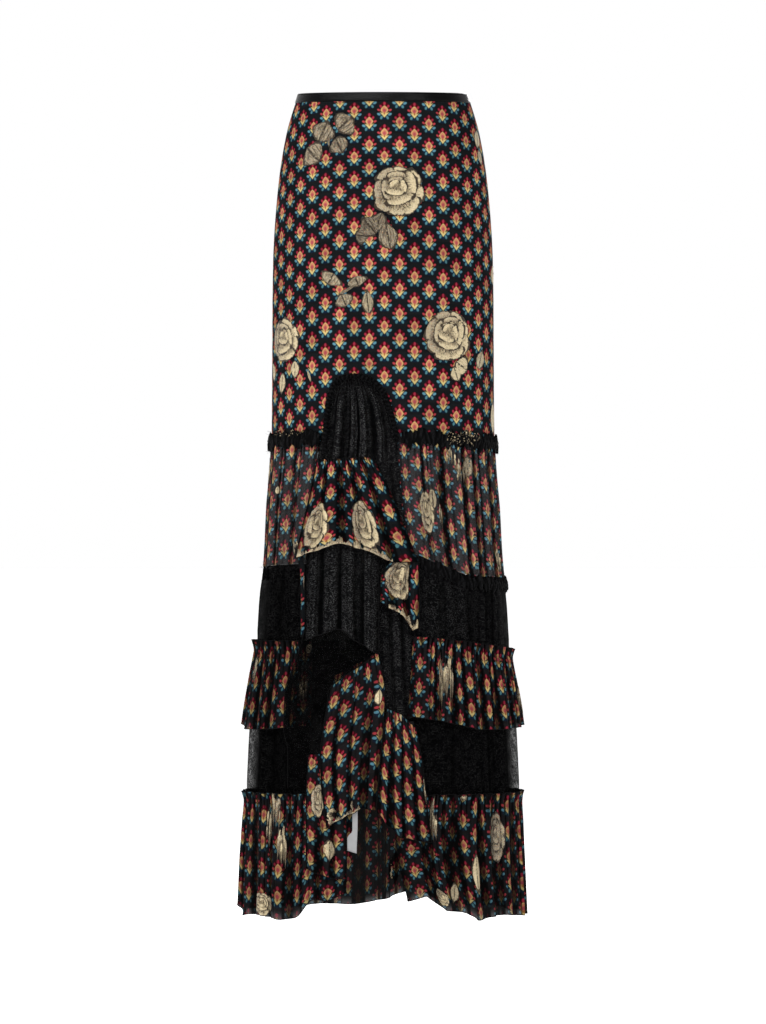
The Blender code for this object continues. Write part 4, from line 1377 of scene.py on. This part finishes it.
SLOT_FINISH = {"chiffon": "printed_chiffon", "crepe": "printed_crepe", "lace": "black_lace",
               "label": "label_tape", "frill": "ruched_black"}
SHELL_WALL = {"crepe": 0.5, "label": 0.35}
FRILL_WALL = 0.4
THREAD = 0.11
PHASES = {"tier2_left": (7, 4), "tier2_right": (-3, 9), "tier4_right": (12, 2),
          "front_ruffle": (5, 0)}


def edge_path(cloth, name):
    """A sheet's top, bottom, left or right edge, as a line of points."""
    lines = {"top": cloth.points[0], "bottom": cloth.points[-1], "left": cloth.points[:, 0],
             "right": cloth.points[:, -1]}
    return lines[name]


def sheet_piece(name):
    """One sheet of the table as a finished piece, with its flowers and its rolled hems."""
    order = [one.name for one in SHEETS].index(name)
    seed = 11 + order * 7
    sheet = SHEETS[order]
    cloth = gathered_cloth(sheet, seed)
    face = SLOT_FINISH[sheet.cloth]
    work = Work(name + "_cloth", [face])
    trim = Work(name + "_trim", ["woven_gold", "hem_thread"])
    phase = PHASES.get(name, (seed * 3.1 % 40, seed * 5.3 % 33))
    measures = cloth.coordinates() + np.array(phase) * MM
    if sheet.cloth in SHELL_WALL:
        work.shell(cloth, measures, SHELL_WALL[sheet.cloth], face)
    else:
        work.sheet(cloth, measures, face)
    for i, bloom in enumerate(one for one in BLOOMS if one.sheet == name):
        lay_bloom(trim, cloth, bloom, seed + i)
    if name in HEM_GOLD:
        lay_band(trim, cloth, *HEM_GOLD[name], seed)
    for edge in by_name(GATHERS, name, None).hems.split():
        trim.tube(edge_path(cloth, edge), size("hem_roll"), "hem_thread")
    declare(work, trim, cloth)


class Panel_Cloth(Cloth):
    """A smooth hip panel, whose flowers are laid by angle and height on the form."""

    def lay(self, centre, x, y, lift):
        """Points about a centre on the form: across by arc length there, and up by height."""
        half_width, half_depth = form(centre[1])
        stretch = np.hypot(half_width * math.cos(centre[0]), half_depth * math.sin(centre[0]))
        low, high = self.limits
        turn = np.clip(centre[0] + x / stretch, low, high)
        return place(turn, np.clip(centre[1] + y, -472, -14), lift)

    def crest(self, centre, spots):
        """A smooth panel is well lit all over."""
        return np.ones(spots.shape[:2])

    def find(self, x, z, back=False):
        """The angle and height of a point seen at x and z."""
        turn = math.asin(float(np.clip(x / form(z)[0], -1, 1)))
        return (math.pi - turn if back else turn), z


def panel_measures(turns, heights, middle):
    """The print's measures on a hip panel, as flat cloth bent round a cone.

    The arc from the middle is the angle from it times the ellipse's mean speed along the way. The
    flat cloth's distance to the cone's tip is the quarter girth over the cone's spread. Across is
    that distance times the sine of the cloth's angle, and up it gains what the cosine lacks. Above
    the hip the cloth is eased in, so the print runs a little closer there.
    """
    half_width, half_depth = form(heights)
    share = (turns - middle)[None, :, None] * (np.arange(24) + 0.5) / 24
    speed = np.hypot(half_width[..., None] * np.cos(share), half_depth[..., None] * np.sin(share))
    arc = (turns - middle) * speed.mean(2)
    girth = math.pi * (3 * (half_width + half_depth)
                       - np.sqrt((3 * half_width + half_depth) * (half_width + 3 * half_depth)))
    quarter = girth / 4
    spread = np.interp(heights, (-320, -60), (0.10, 0.23))
    angle = spread * arc / quarter
    across_it = quarter / spread * np.sin(angle)
    eased = 0.08 * (np.maximum(heights, -165) + 41)
    up = heights + eased + quarter / spread * (1 - np.cos(angle))
    return np.stack([across_it, up], axis=-1) * MM


def hip_panel(name, turns, edge):
    """One hip panel, from under the waistband to its lower edge, with its woven flowers."""
    rows = 96
    top = -BAND_HEIGHT + 2.0
    down = np.linspace(0, 1, rows)[:, None]
    height = top + down * (edge[None, :] - top)
    ripple = 0.35 * wander(turns * 150, 5, 80)[None, :] * np.exp(-((height + 60) / 70) ** 2)
    ripple = ripple + 0.3 * wander(height, 9, 160)
    points = place(turns + 0 * height, height, ripple)
    middle = 0 if name.endswith("front") else math.pi
    measures = panel_measures(turns, height, middle) + np.array((size("print_across") / 4, 0)) * MM
    measures = measures + np.array((19.0, 41.0 + size("print_down") / 2)) * MM
    # An even relief, so the panel gets one even amount of painted shade.
    cloth = Panel_Cloth(name, points, points[0, :, 0], height[:, 0], 0.55)
    cloth.limits = (turns[0], turns[-1])
    work = Work(name + "_cloth", ["printed_crepe"])
    trim = Work(name + "_trim", ["woven_gold"])
    work.shell(cloth, measures, 0.6, "printed_crepe")
    for i, bloom in enumerate(one for one in BLOOMS if one.sheet == name):
        lay_bloom(trim, cloth, bloom, 3 + i)
    declare(work, trim, cloth)


def waistband_half(name, start, end):
    """Half of the band: a rounded strip whose edges turn in, with topstitching along both edges."""
    turns = np.linspace(start, end, 160)
    lap = np.linspace(0, 1, 15)
    height = 1.2 - (BAND_HEIGHT + 0.8) * lap[:, None] + 0 * turns[None, :]
    crown = BAND_OUT + 0.9 * (1 - (2 * lap - 1) ** 6) - 0.7
    points = place(turns + 0 * height, height, crown[:, None] + 0 * turns[None, :])
    run = np.linspace(0, 1, 160) * np.linalg.norm(np.diff(points[0], axis=0), axis=1).sum()
    cloth = Cloth(name, points, run, BAND_HEIGHT * lap)
    work = Work(name + "_cloth", ["black_satin"])
    trim = Work(name + "_trim", ["hem_thread"])
    work.shell(cloth, cloth.coordinates(), 1.6, "black_satin")
    stitches = int(run[-1] / 3.0)
    for down in (1.3, BAND_HEIGHT - 1.3):
        for i in range(stitches):
            at = (i + 0.18 + np.array([0, 0.32, 0.64])) * run[-1] / stitches
            lift = np.array([0.02, 0.22, 0.02])
            path = cloth.lay((0.0, down), at, np.zeros(3), lift)
            trim.tube(path, 0.16, "hem_thread", sides=4)
    declare(work, trim, cloth)


def ruched_strip(name):
    """A black frill over a seam: pinched along its stitch line and flaring to two ragged edges.

    Across the strip the flare grows with the distance from the stitch line. Along it, uneven
    gathers push each edge out and in, and the two edges wander up and down.
    """
    seed = 5 + len(name)
    sheet = next(one for one in SHEETS if one.name == name)
    bare = gathered_edges(sheet, 2, 40)
    width = steps_along(place(*bare, 0 * bare[0]), 1).sum(1).max()
    columns = int(width / 1.1)
    rows = 13
    turn, height = gathered_edges(sheet, rows, columns)
    run = np.linspace(0, width, columns + 1)[None, :]
    down = np.linspace(0, 1, rows + 1)[:, None]
    flare = abs(2 * down - 1)
    ends = np.clip(np.minimum(run, width - run) / 8.0, 0, 1) ** 0.5
    slant = 9.0 * wander(run, seed + 6, 37) * (down - 0.5)
    top_wave = pleat(TAU * run / 7.4 + 7.0 * wander(run, seed, 24) + slant)
    low_wave = pleat(TAU * run / 9.1 + 7.0 * wander(run, seed + 1, 27) + slant)
    lower = np.clip((down - 0.38) / 0.24, 0, 1)
    wave = (top_wave + lower * (low_wave - top_wave)) * (0.7 + 1.3 * wander(run, seed + 2, 13))
    out = 4.0 - 2.2 * flare**2 + wave * (1.0 + 0.9 * flare)
    out = np.maximum(out + 0.6 * wander(run + down * 9, seed + 3, 5), 0.4)
    if name == "knee_frill_back":
        out = out * np.clip((width - run) / 40.0, 0.1, 1)
    top_rag = 6.0 * wander(run, seed + 4, 13) + 3.0 * wander(run, seed + 5, 4.6)
    low_rag = 6.5 * wander(run, seed + 8, 15) + 3.2 * wander(run, seed + 9, 5.0)
    middle = height.mean(0)[None, :]
    height = middle + (height - middle) * (0.55 + 0.45 * ends) + 3.6 * wander(run, seed + 7, 36)
    height = height + np.where(down < 0.5, top_rag, low_rag) * flare * ends
    points = place(turn, height, out)
    # The frill's relief goes into its tints, for painted light on its crests.
    cloth = Cloth(name, points, run[0], down[:, 0] * 22.0, relief_of(out))
    work = Work(name + "_cloth", ["ruched_black"])
    trim = Work(name + "_trim", ["woven_gold", "hem_thread"])
    work.shell(cloth, cloth.coordinates(), FRILL_WALL, "ruched_black")
    rng = np.random.default_rng(seed)
    for i in range(int(width / 2.2)):
        edge = 0 if rng.uniform() < 0.55 else rows
        column = rng.integers(1, columns - 1)
        start = points[edge, column]
        aim = cloth.normals[edge, column] * rng.uniform(0.2, 1.0)
        sideways = rng.uniform(-0.8, 0.8)
        away = (1 if edge == 0 else -1) * rng.uniform(0.2, 1)
        aim = aim + np.array([sideways, 0, away])
        reach = rng.uniform(1.2, 3.8)
        bend = np.array([rng.uniform(-1, 1), rng.uniform(-1, 0.3), rng.uniform(-1, 1)]) * 0.5
        path = [start, start + aim * reach * 0.6, start + aim * reach + bend]
        trim.tube(path, THREAD, "hem_thread", 3)
    for low, high, amount, depth in FRILL_GLINTS.get(name, ()):
        for i in range(amount):
            spot = (rng.uniform(low, high) * width, depth * rng.uniform(0, 1) ** 1.5)
            wide, tall = rng.uniform(0.6, 2.2, 2)
            fleck = Bloom(name, "leaf", 0, 0, wide, tall, 0, rng.uniform(0.1, 0.9))
            lay_fleck(trim, cloth, spot, fleck, seed + i)
    declare(work, trim, cloth)


FRILL_GLINTS = {
    "seam_frill_left": ((0.35, 0.78, 34, 6),),
    "seam_frill_right": ((0.30, 0.52, 90, 19), (0.50, 0.60, 24, 10), (0.95, 0.99, 10, 18)),
    "seam_frill_back": ((0.3, 0.38, 36, 15), (0.7, 0.8, 36, 12)),
}


def lay_fleck(work, cloth, centre, fleck, seed):
    """A small sliver of metal thread on a frill."""
    angle = np.arange(7) * TAU / 7
    x = fleck.width / 2 * np.cos(angle) * (1 + 0.3 * np.sin(3 * angle + seed))
    y = fleck.height / 2 * np.sin(angle)
    points = cloth.lay(centre, x, y, np.full(7, 0.35))
    hub = cloth.lay(centre, np.zeros(1), np.zeros(1), np.array([0.5]))
    fan = np.stack([np.zeros(7, int), 1 + np.arange(7), 1 + np.roll(np.arange(7), -1)], axis=1)
    tint = np.tile([[0.5, 0.5, fleck.tone, 0.0]], (8, 1))
    work.add(np.concatenate([hub, points]), np.array([0.0, 0.0]), [fan], "woven_gold", tint)


def gathered_edges(sheet, rows, columns):
    """The angles and heights of an even grid between a sheet's four edges."""
    down = np.linspace(0, 1, rows + 1)[:, None]
    u = np.repeat(np.linspace(0, 1, columns + 1)[None, :], rows + 1, axis=0)
    return between_edges(sheet, down, u)


def arch_ruching():
    """The ruched edge of the arch: a cord along the arch that swells and pinches as it is gathered.

    The radius is the plain one times 1 plus two waves, one along the cord and one that also
    turns round it, so the cloth looks twisted.
    """
    path = (LEFT_FOOT, *ARCH, RIGHT_FOOT)
    at = np.linspace(0, len(path) - 1, 340)
    x = smooth(at, np.arange(len(path)), [point.x for point in path])
    height = smooth(at, np.arange(len(path)), [point.height for point in path])
    line = place(np.arcsin(x / form(height)[0]), height, 5.2)
    run = np.concatenate([[0], np.cumsum(np.linalg.norm(np.diff(line, axis=0), axis=1))])
    ahead = np.gradient(line, axis=0)
    ahead /= np.linalg.norm(ahead, axis=1, keepdims=True)
    outward = place(np.arcsin(x / form(height)[0]), height, 6.2) - line
    outward -= ahead * (ahead * outward).sum(1, keepdims=True)
    outward /= np.linalg.norm(outward, axis=1, keepdims=True)
    beside = np.cross(ahead, outward)
    angle = np.linspace(0, TAU, 25)[None, :-1]
    pinch = np.sin(TAU * run / 5.4 + 2.2 * wander(run, 3, 22))[:, None]
    twist = np.sin(3 * angle + run[:, None] * 0.9)
    radius = 3.7 * (1 + 0.20 * pinch + 0.14 * twist) * (1 + 0.12 * wander(run, 8, 30))[:, None]
    radius[0] *= 0.05
    radius[-1] *= 0.05
    ring = outward[:, None] * np.cos(angle)[..., None] + beside[:, None] * np.sin(angle)[..., None]
    points = line[:, None] + ring * radius[..., None]
    work = Work("arch_frill_cloth", ["ruched_black"])
    trim = Work("arch_frill_trim", ["hem_thread"])
    measures = stacked(run[:, None], angle * 4) * MM
    caps = [np.arange(24)[None, :][:, ::-1], (len(run) - 1) * 24 + np.arange(24)[None, :]]
    tints = np.zeros(points.shape[:2] + (4,))
    # Where the cord swells it gets more relief, for painted light on the swells.
    tints[..., 0] = 0.5 + 0.5 * np.clip((radius / 3.7 - 1) / 0.3, -1, 1)
    faces = [grid_faces(len(run), 24, around=True)[:, ::-1], *caps]
    work.add(points, measures, faces, "ruched_black", tints)
    rng = np.random.default_rng(4)
    for i in range(150):
        k = rng.integers(4, 336)
        turn = rng.uniform(-1.6, 1.6)
        aim = outward[k] * math.cos(turn) + beside[k] * math.sin(turn)
        start = line[k] + aim * 3.2
        bend = rng.uniform(-1, 1, 3) * 0.8
        trim.tube([start, start + aim * 1.4, start + aim * rng.uniform(2, 3.4) + bend], 0.12,
                  "hem_thread", 3)
    loop = np.linspace(0, 1, 40)
    loop_x = -8 + 15 * np.sin(loop * 2.6) * (0.35 + 0.65 * loop)
    loop_z = -436 - 30 * np.sin(loop * math.pi) + 5 * loop
    thread = place(np.arcsin(loop_x / form(loop_z)[0]), loop_z, 5.5 + 2.0 * np.sin(loop * 5))
    trim.tube(thread, 0.32, "hem_thread", 5)
    half_round = np.concatenate([points[:, 18:], points[:, :7]], axis=1)
    cloth = Cloth("arch_frill", half_round, np.arange(13), run)
    declare(work, trim, cloth)


# The operators and their settings


def tone_property(name, description, default):
    """A colour setting."""
    return FloatVectorProperty(name=name, description=description, default=default, subtype="COLOR",
                               size=3, min=0.0, max=1.0)


class SkirtSizes(PropertyGroup):
    """Sizes of the print, the lace and the edges."""

    print_across: FloatProperty(name="Print across", description="Width of the print's repeat",
                                default=0.0420, unit="LENGTH")
    print_down: FloatProperty(name="Print down", description="Height of the print's repeat",
                              default=0.0345, unit="LENGTH")
    lace_flower_pitch: FloatProperty(name="Lace flowers",
                                     description="Spacing of the lace's flowers",
                                     default=0.034, unit="LENGTH")
    lace_ground: FloatProperty(name="Lace ground", description="How dense the open net is, 0 to 1",
                               default=0.985, min=0.0, max=1.0, subtype="FACTOR")
    hem_roll: FloatProperty(name="Hem roll", description="Radius of the rolled hems",
                            default=0.0006, unit="LENGTH")


class SkirtColours(PropertyGroup):
    """Colours of the cloths, the print and the metal thread."""

    crepe_ground: tone_property("Crepe ground", "Ground of the opaque crepe",
                                (0.0070, 0.0082, 0.0092))
    chiffon_ground: tone_property("Chiffon ground", "Ground of the sheer chiffon",
                                  (0.0110, 0.0100, 0.0108))
    crimson: tone_property("Crimson", "Upper petals of the print", (0.290, 0.021, 0.043))
    scarlet: tone_property("Scarlet", "Side petals of the print", (0.350, 0.040, 0.047))
    wine: tone_property("Wine", "Shade round the petals", (0.055, 0.0024, 0.0050))
    rust: tone_property("Rust", "Stalk under the print's heart", (0.300, 0.110, 0.030))
    # Glint is painted: patches of it stand in for the sparkle of metal thread.
    glint: tone_property("Glint", "Brightest metal thread", (0.92, 0.86, 0.70))
    salmon: tone_property("Salmon", "Flame round the print's heart", (0.470, 0.180, 0.090))
    peach: tone_property("Peach", "Heart of the print", (0.510, 0.320, 0.135))
    rose: tone_property("Rose", "Core of the print's heart", (0.340, 0.062, 0.075))
    olive: tone_property("Olive", "Leaf under the print's heart", (0.560, 0.440, 0.175))
    blue: tone_property("Blue", "Lower petals of the print", (0.085, 0.215, 0.275))
    teal: tone_property("Teal", "Outer lower petals of the print", (0.065, 0.175, 0.200))
    # The veil's grey is partly the haze of sheer cloth and partly painted light coming through it.
    veil: tone_property("Veil", "What sheer cloth fades to", (0.055, 0.053, 0.054))
    navy: tone_property("Navy", "Shade behind the lower petals", (0.0045, 0.0140, 0.0300))
    pale_gold: tone_property("Pale gold", "Lightest metal thread", (0.65, 0.535, 0.325))
    gold_shade: tone_property("Gold shade", "Shaded pale thread", (0.29, 0.215, 0.115))
    bronze: tone_property("Bronze", "Muted metal thread", (0.29, 0.240, 0.170))
    bronze_shade: tone_property("Bronze shade", "Shaded muted thread", (0.110, 0.085, 0.058))
    gold_line: tone_property("Gold lines", "Lines drawn between the petals", (0.038, 0.026, 0.016))
    lace: tone_property("Lace", "Black lace", (0.0009, 0.0009, 0.0010))
    # The lace threads' grey with their painted sheen.
    lace_thread_sheen: tone_property("Lace thread", "Raised threads of the lace", (0.056, 0.056, 0.055))
    frill: tone_property("Frill", "Ruched black cloth", (0.0022, 0.0022, 0.0024))
    satin: tone_property("Satin", "Waistband", (0.0022, 0.0022, 0.0024))
    hem: tone_property("Hem", "Hems and stitches", (0.0050, 0.0048, 0.0050))
    label: tone_property("Label", "Bare label", (0.27, 0.27, 0.275))


class StudioSettings(PropertyGroup):
    """The camera and the lights."""

    camera_distance: FloatProperty(name="Camera distance", description="From the skirt's middle",
                                   default=7.5, unit="LENGTH")
    camera_height: FloatProperty(name="Camera height", description="Against the waist",
                                 default=-0.58, unit="LENGTH")
    picture_height: FloatProperty(name="Picture height", description="What the picture takes in",
                                  default=1.4336, unit="LENGTH")
    floor_height: FloatProperty(name="Floor", description="Height of the floor",
                                default=-1.30, unit="LENGTH")
    key_power: FloatProperty(name="Key light", description="Power of the main softbox",
                             default=125.0, unit="POWER")
    room: FloatProperty(name="Room light", description="Strength of the even light all round",
                        default=1.0, min=0.0)


class SKIRT_OT_studio(Operator):
    """Sets up the camera, a plain pale floor and soft light"""

    bl_idname = "skirt.studio"
    bl_label = "Studio"

    def execute(self, context):
        studio = context.scene.skirt_studio
        data = bpy.data.cameras.new("camera")
        data.sensor_fit = "VERTICAL"
        data.sensor_height = 36.0
        data.lens = data.sensor_height * studio.camera_distance / studio.picture_height
        data.clip_end = 200.0
        camera = bpy.data.objects.new("camera", data)
        camera.location = (0, -studio.camera_distance, studio.camera_height)
        camera.rotation_euler = (math.pi / 2, 0, 0)
        context.scene.collection.objects.link(camera)
        context.scene.camera = camera
        world = Board(bpy.data.worlds.new("pale_room"))
        aim = world.node("ShaderNodeTexCoord", None, None, 0)
        height = world.node("ShaderNodeSeparateXYZ", None, {0: aim}, 2)
        light = world.mix(height.step(0.20, 0.50), (1.0, 1.0, 1.0), (0.16, 0.16, 0.16))
        world.put(light, world.tree.nodes["Background"].inputs["Color"])
        world.put(studio.room, world.tree.nodes["Background"].inputs["Strength"])
        context.scene.world = world.owner
        context.scene.view_settings.view_transform = "Standard"
        context.scene.cycles.transparent_max_bounces = 32
        floor = self.floor(studio.floor_height)
        self.softbox("key_light", (1.0, -4.4, 2.0), (0, 0, -0.35), (1.4, 1.7), studio.key_power)
        self.softbox("top_light", (-1.2, -1.6, 1.9), (0, 0, -0.5), (1.2, 1.2),
                     studio.key_power * 0.5)
        self.softbox("back_light", (0.8, 4.4, 1.2), (0, 0, -0.4), (1.4, 1.7),
                     studio.key_power * 0.8)
        return {"FINISHED"}

    def floor(self, height):
        """A wide disc of rings, each ring's points evenly round it."""
        ring = np.array([0.5, 2, 6, 18, 60])[:, None]
        angle = np.arange(48)[None, :] * TAU / 48
        x = ring * np.cos(angle)
        y = ring * np.sin(angle)
        points = np.stack([x, y, np.full(x.shape, height)], axis=-1).reshape(-1, 3)
        faces = grid_faces(5, 48, around=True)
        mesh = bpy.data.meshes.new("floor")
        mesh.from_pydata(points.tolist(), [], [*faces.tolist(), list(range(48))])
        mesh.update()
        board = Board(bpy.data.materials.new("pale_floor"))
        at = board.node("ShaderNodeTexCoord", None, None, 3)
        cloudy = board.noise(at, 0.4, 2.0)
        pale = board.mix(cloudy, (0.70, 0.70, 0.70), (0.74, 0.74, 0.74))
        board.set(Base_Color=pale, Roughness=0.8, Emission_Color=(1, 1, 1), Emission_Strength=0.85)
        mesh.materials.append(board.owner)
        made = bpy.data.objects.new("floor", mesh)
        bpy.context.scene.collection.objects.link(made)
        return made

    def softbox(self, name, at, towards, spread, power):
        """A rectangular soft light that faces a point."""
        data = bpy.data.lights.new(name, "AREA")
        data.shape = "RECTANGLE"
        data.size, data.size_y = spread
        data.energy = power
        made = bpy.data.objects.new(name, data)
        made.location = at
        aim = np.array(towards) - np.array(at)
        level_reach = math.hypot(aim[0], aim[1])
        made.rotation_euler = (math.pi / 2 + math.atan2(aim[2], level_reach), 0,
                               math.atan2(aim[1], aim[0]) - math.pi / 2)
        bpy.context.scene.collection.objects.link(made)


class SKIRT_OT_waistband(Operator):
    """Makes the two halves of the black satin waistband"""

    bl_idname = "skirt.waistband"
    bl_label = "Waistband"

    def execute(self, context):
        waistband_half("waistband_front", LEFT_SEAM(0, 0.0), RIGHT_SEAM(0, 0.0))
        waistband_half("waistband_back", RIGHT_SEAM(0, 0.0), BACK_END(0, 0.0))
        return {"FINISHED"}


class SKIRT_OT_hip_panels(Operator):
    """Makes the smooth printed hip panels, with the arch in the front one"""

    bl_idname = "skirt.hip_panels"
    bl_label = "Hip panels"

    def execute(self, context):
        at = np.linspace(0, len(ARCH) - 1, 78)
        x = smooth(at, np.arange(len(ARCH)), [point.x for point in ARCH])
        arch_edge = smooth(at, np.arange(len(ARCH)), [point.height for point in ARCH])
        arch_turns = np.arcsin(x / form(ARCH[0].height)[0])
        left = np.linspace(LEFT_SEAM(0, 0.0), arch_turns[0], 56)[:-1]
        right = np.linspace(arch_turns[-1], RIGHT_SEAM(0, 0.0), 80)[1:]
        seam_edge = along(HIP_SEAM)
        edge = np.concatenate([seam_edge(0, left), arch_edge, seam_edge(0, right)])
        hip_panel("upper_front", np.concatenate([left, arch_turns, right]), edge)
        turns = np.linspace(RIGHT_SEAM(0, 0.0), BACK_END(0, 0.0), 170)
        hip_panel("upper_back", turns, seam_edge(0, turns))
        return {"FINISHED"}


class SKIRT_OT_tiers(Operator):
    """Makes the printed and the lace tiers"""

    bl_idname = "skirt.tiers"
    bl_label = "Tiers"

    def execute(self, context):
        for tier in ("tier2", "tier3", "tier4", "tier5", "tier6"):
            for where in ("left", "right", "back"):
                sheet_piece(f"{tier}_{where}")
        return {"FINISHED"}


class SKIRT_OT_drapes(Operator):
    """Makes the lace in the arch, the front ruffle and the cascades"""

    bl_idname = "skirt.drapes"
    bl_label = "Front drapes"

    def execute(self, context):
        for name in ("arch_lace", "long_lace", "front_ruffle", "right_tail", "left_tail",
                     "lace_cascade", "lace_veil", "print_cascade_left", "print_cascade_right",
                     "print_cascade_under", "care_label"):
            sheet_piece(name)
        return {"FINISHED"}


class SKIRT_OT_frills(Operator):
    """Makes the ruched black frills over the seams and round the arch"""

    bl_idname = "skirt.frills"
    bl_label = "Frills"

    def execute(self, context):
        for name in ("seam_frill_left", "seam_frill_right", "seam_frill_back", "knee_frill_right",
                     "knee_frill_back"):
            ruched_strip(name)
        arch_ruching()
        return {"FINISHED"}


STEPS = ("studio", "waistband", "hip_panels", "tiers", "drapes", "frills")


class SKIRT_PT_builder(Panel):
    """The skirt's pieces and settings in the sidebar"""

    bl_label = "Maxi skirt"
    bl_idname = "SKIRT_PT_builder"
    bl_space_type = "VIEW_3D"
    bl_region_type = "UI"
    bl_category = "Skirt"

    def draw(self, context):
        for step in STEPS:
            self.layout.operator(f"skirt.{step}")
        scene = context.scene
        for group in (scene.skirt_sizes, scene.skirt_colours, scene.skirt_studio):
            box = self.layout.box()
            for name in group.bl_rna.properties.keys():
                if name not in ("rna_type", "name"):
                    box.prop(group, name)


CLASSES = (SkirtSizes, SkirtColours, StudioSettings, SKIRT_OT_studio, SKIRT_OT_waistband,
           SKIRT_OT_hip_panels, SKIRT_OT_tiers, SKIRT_OT_drapes, SKIRT_OT_frills, SKIRT_PT_builder)


def register():
    """Registers the classes and gives the scene its settings."""
    for one in CLASSES:
        bpy.utils.register_class(one)
    bpy.types.Scene.skirt_sizes = PointerProperty(type=SkirtSizes)
    bpy.types.Scene.skirt_colours = PointerProperty(type=SkirtColours)
    bpy.types.Scene.skirt_studio = PointerProperty(type=StudioSettings)


def unregister():
    """Takes the settings and the classes away again."""
    del bpy.types.Scene.skirt_sizes
    del bpy.types.Scene.skirt_colours
    del bpy.types.Scene.skirt_studio
    for one in reversed(CLASSES):
        bpy.utils.unregister_class(one)


def main():
    """Builds the whole skirt."""
    register()
    for step in STEPS:
        getattr(bpy.ops.skirt, step)()
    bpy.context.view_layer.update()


if __name__ == "__main__":
    main()
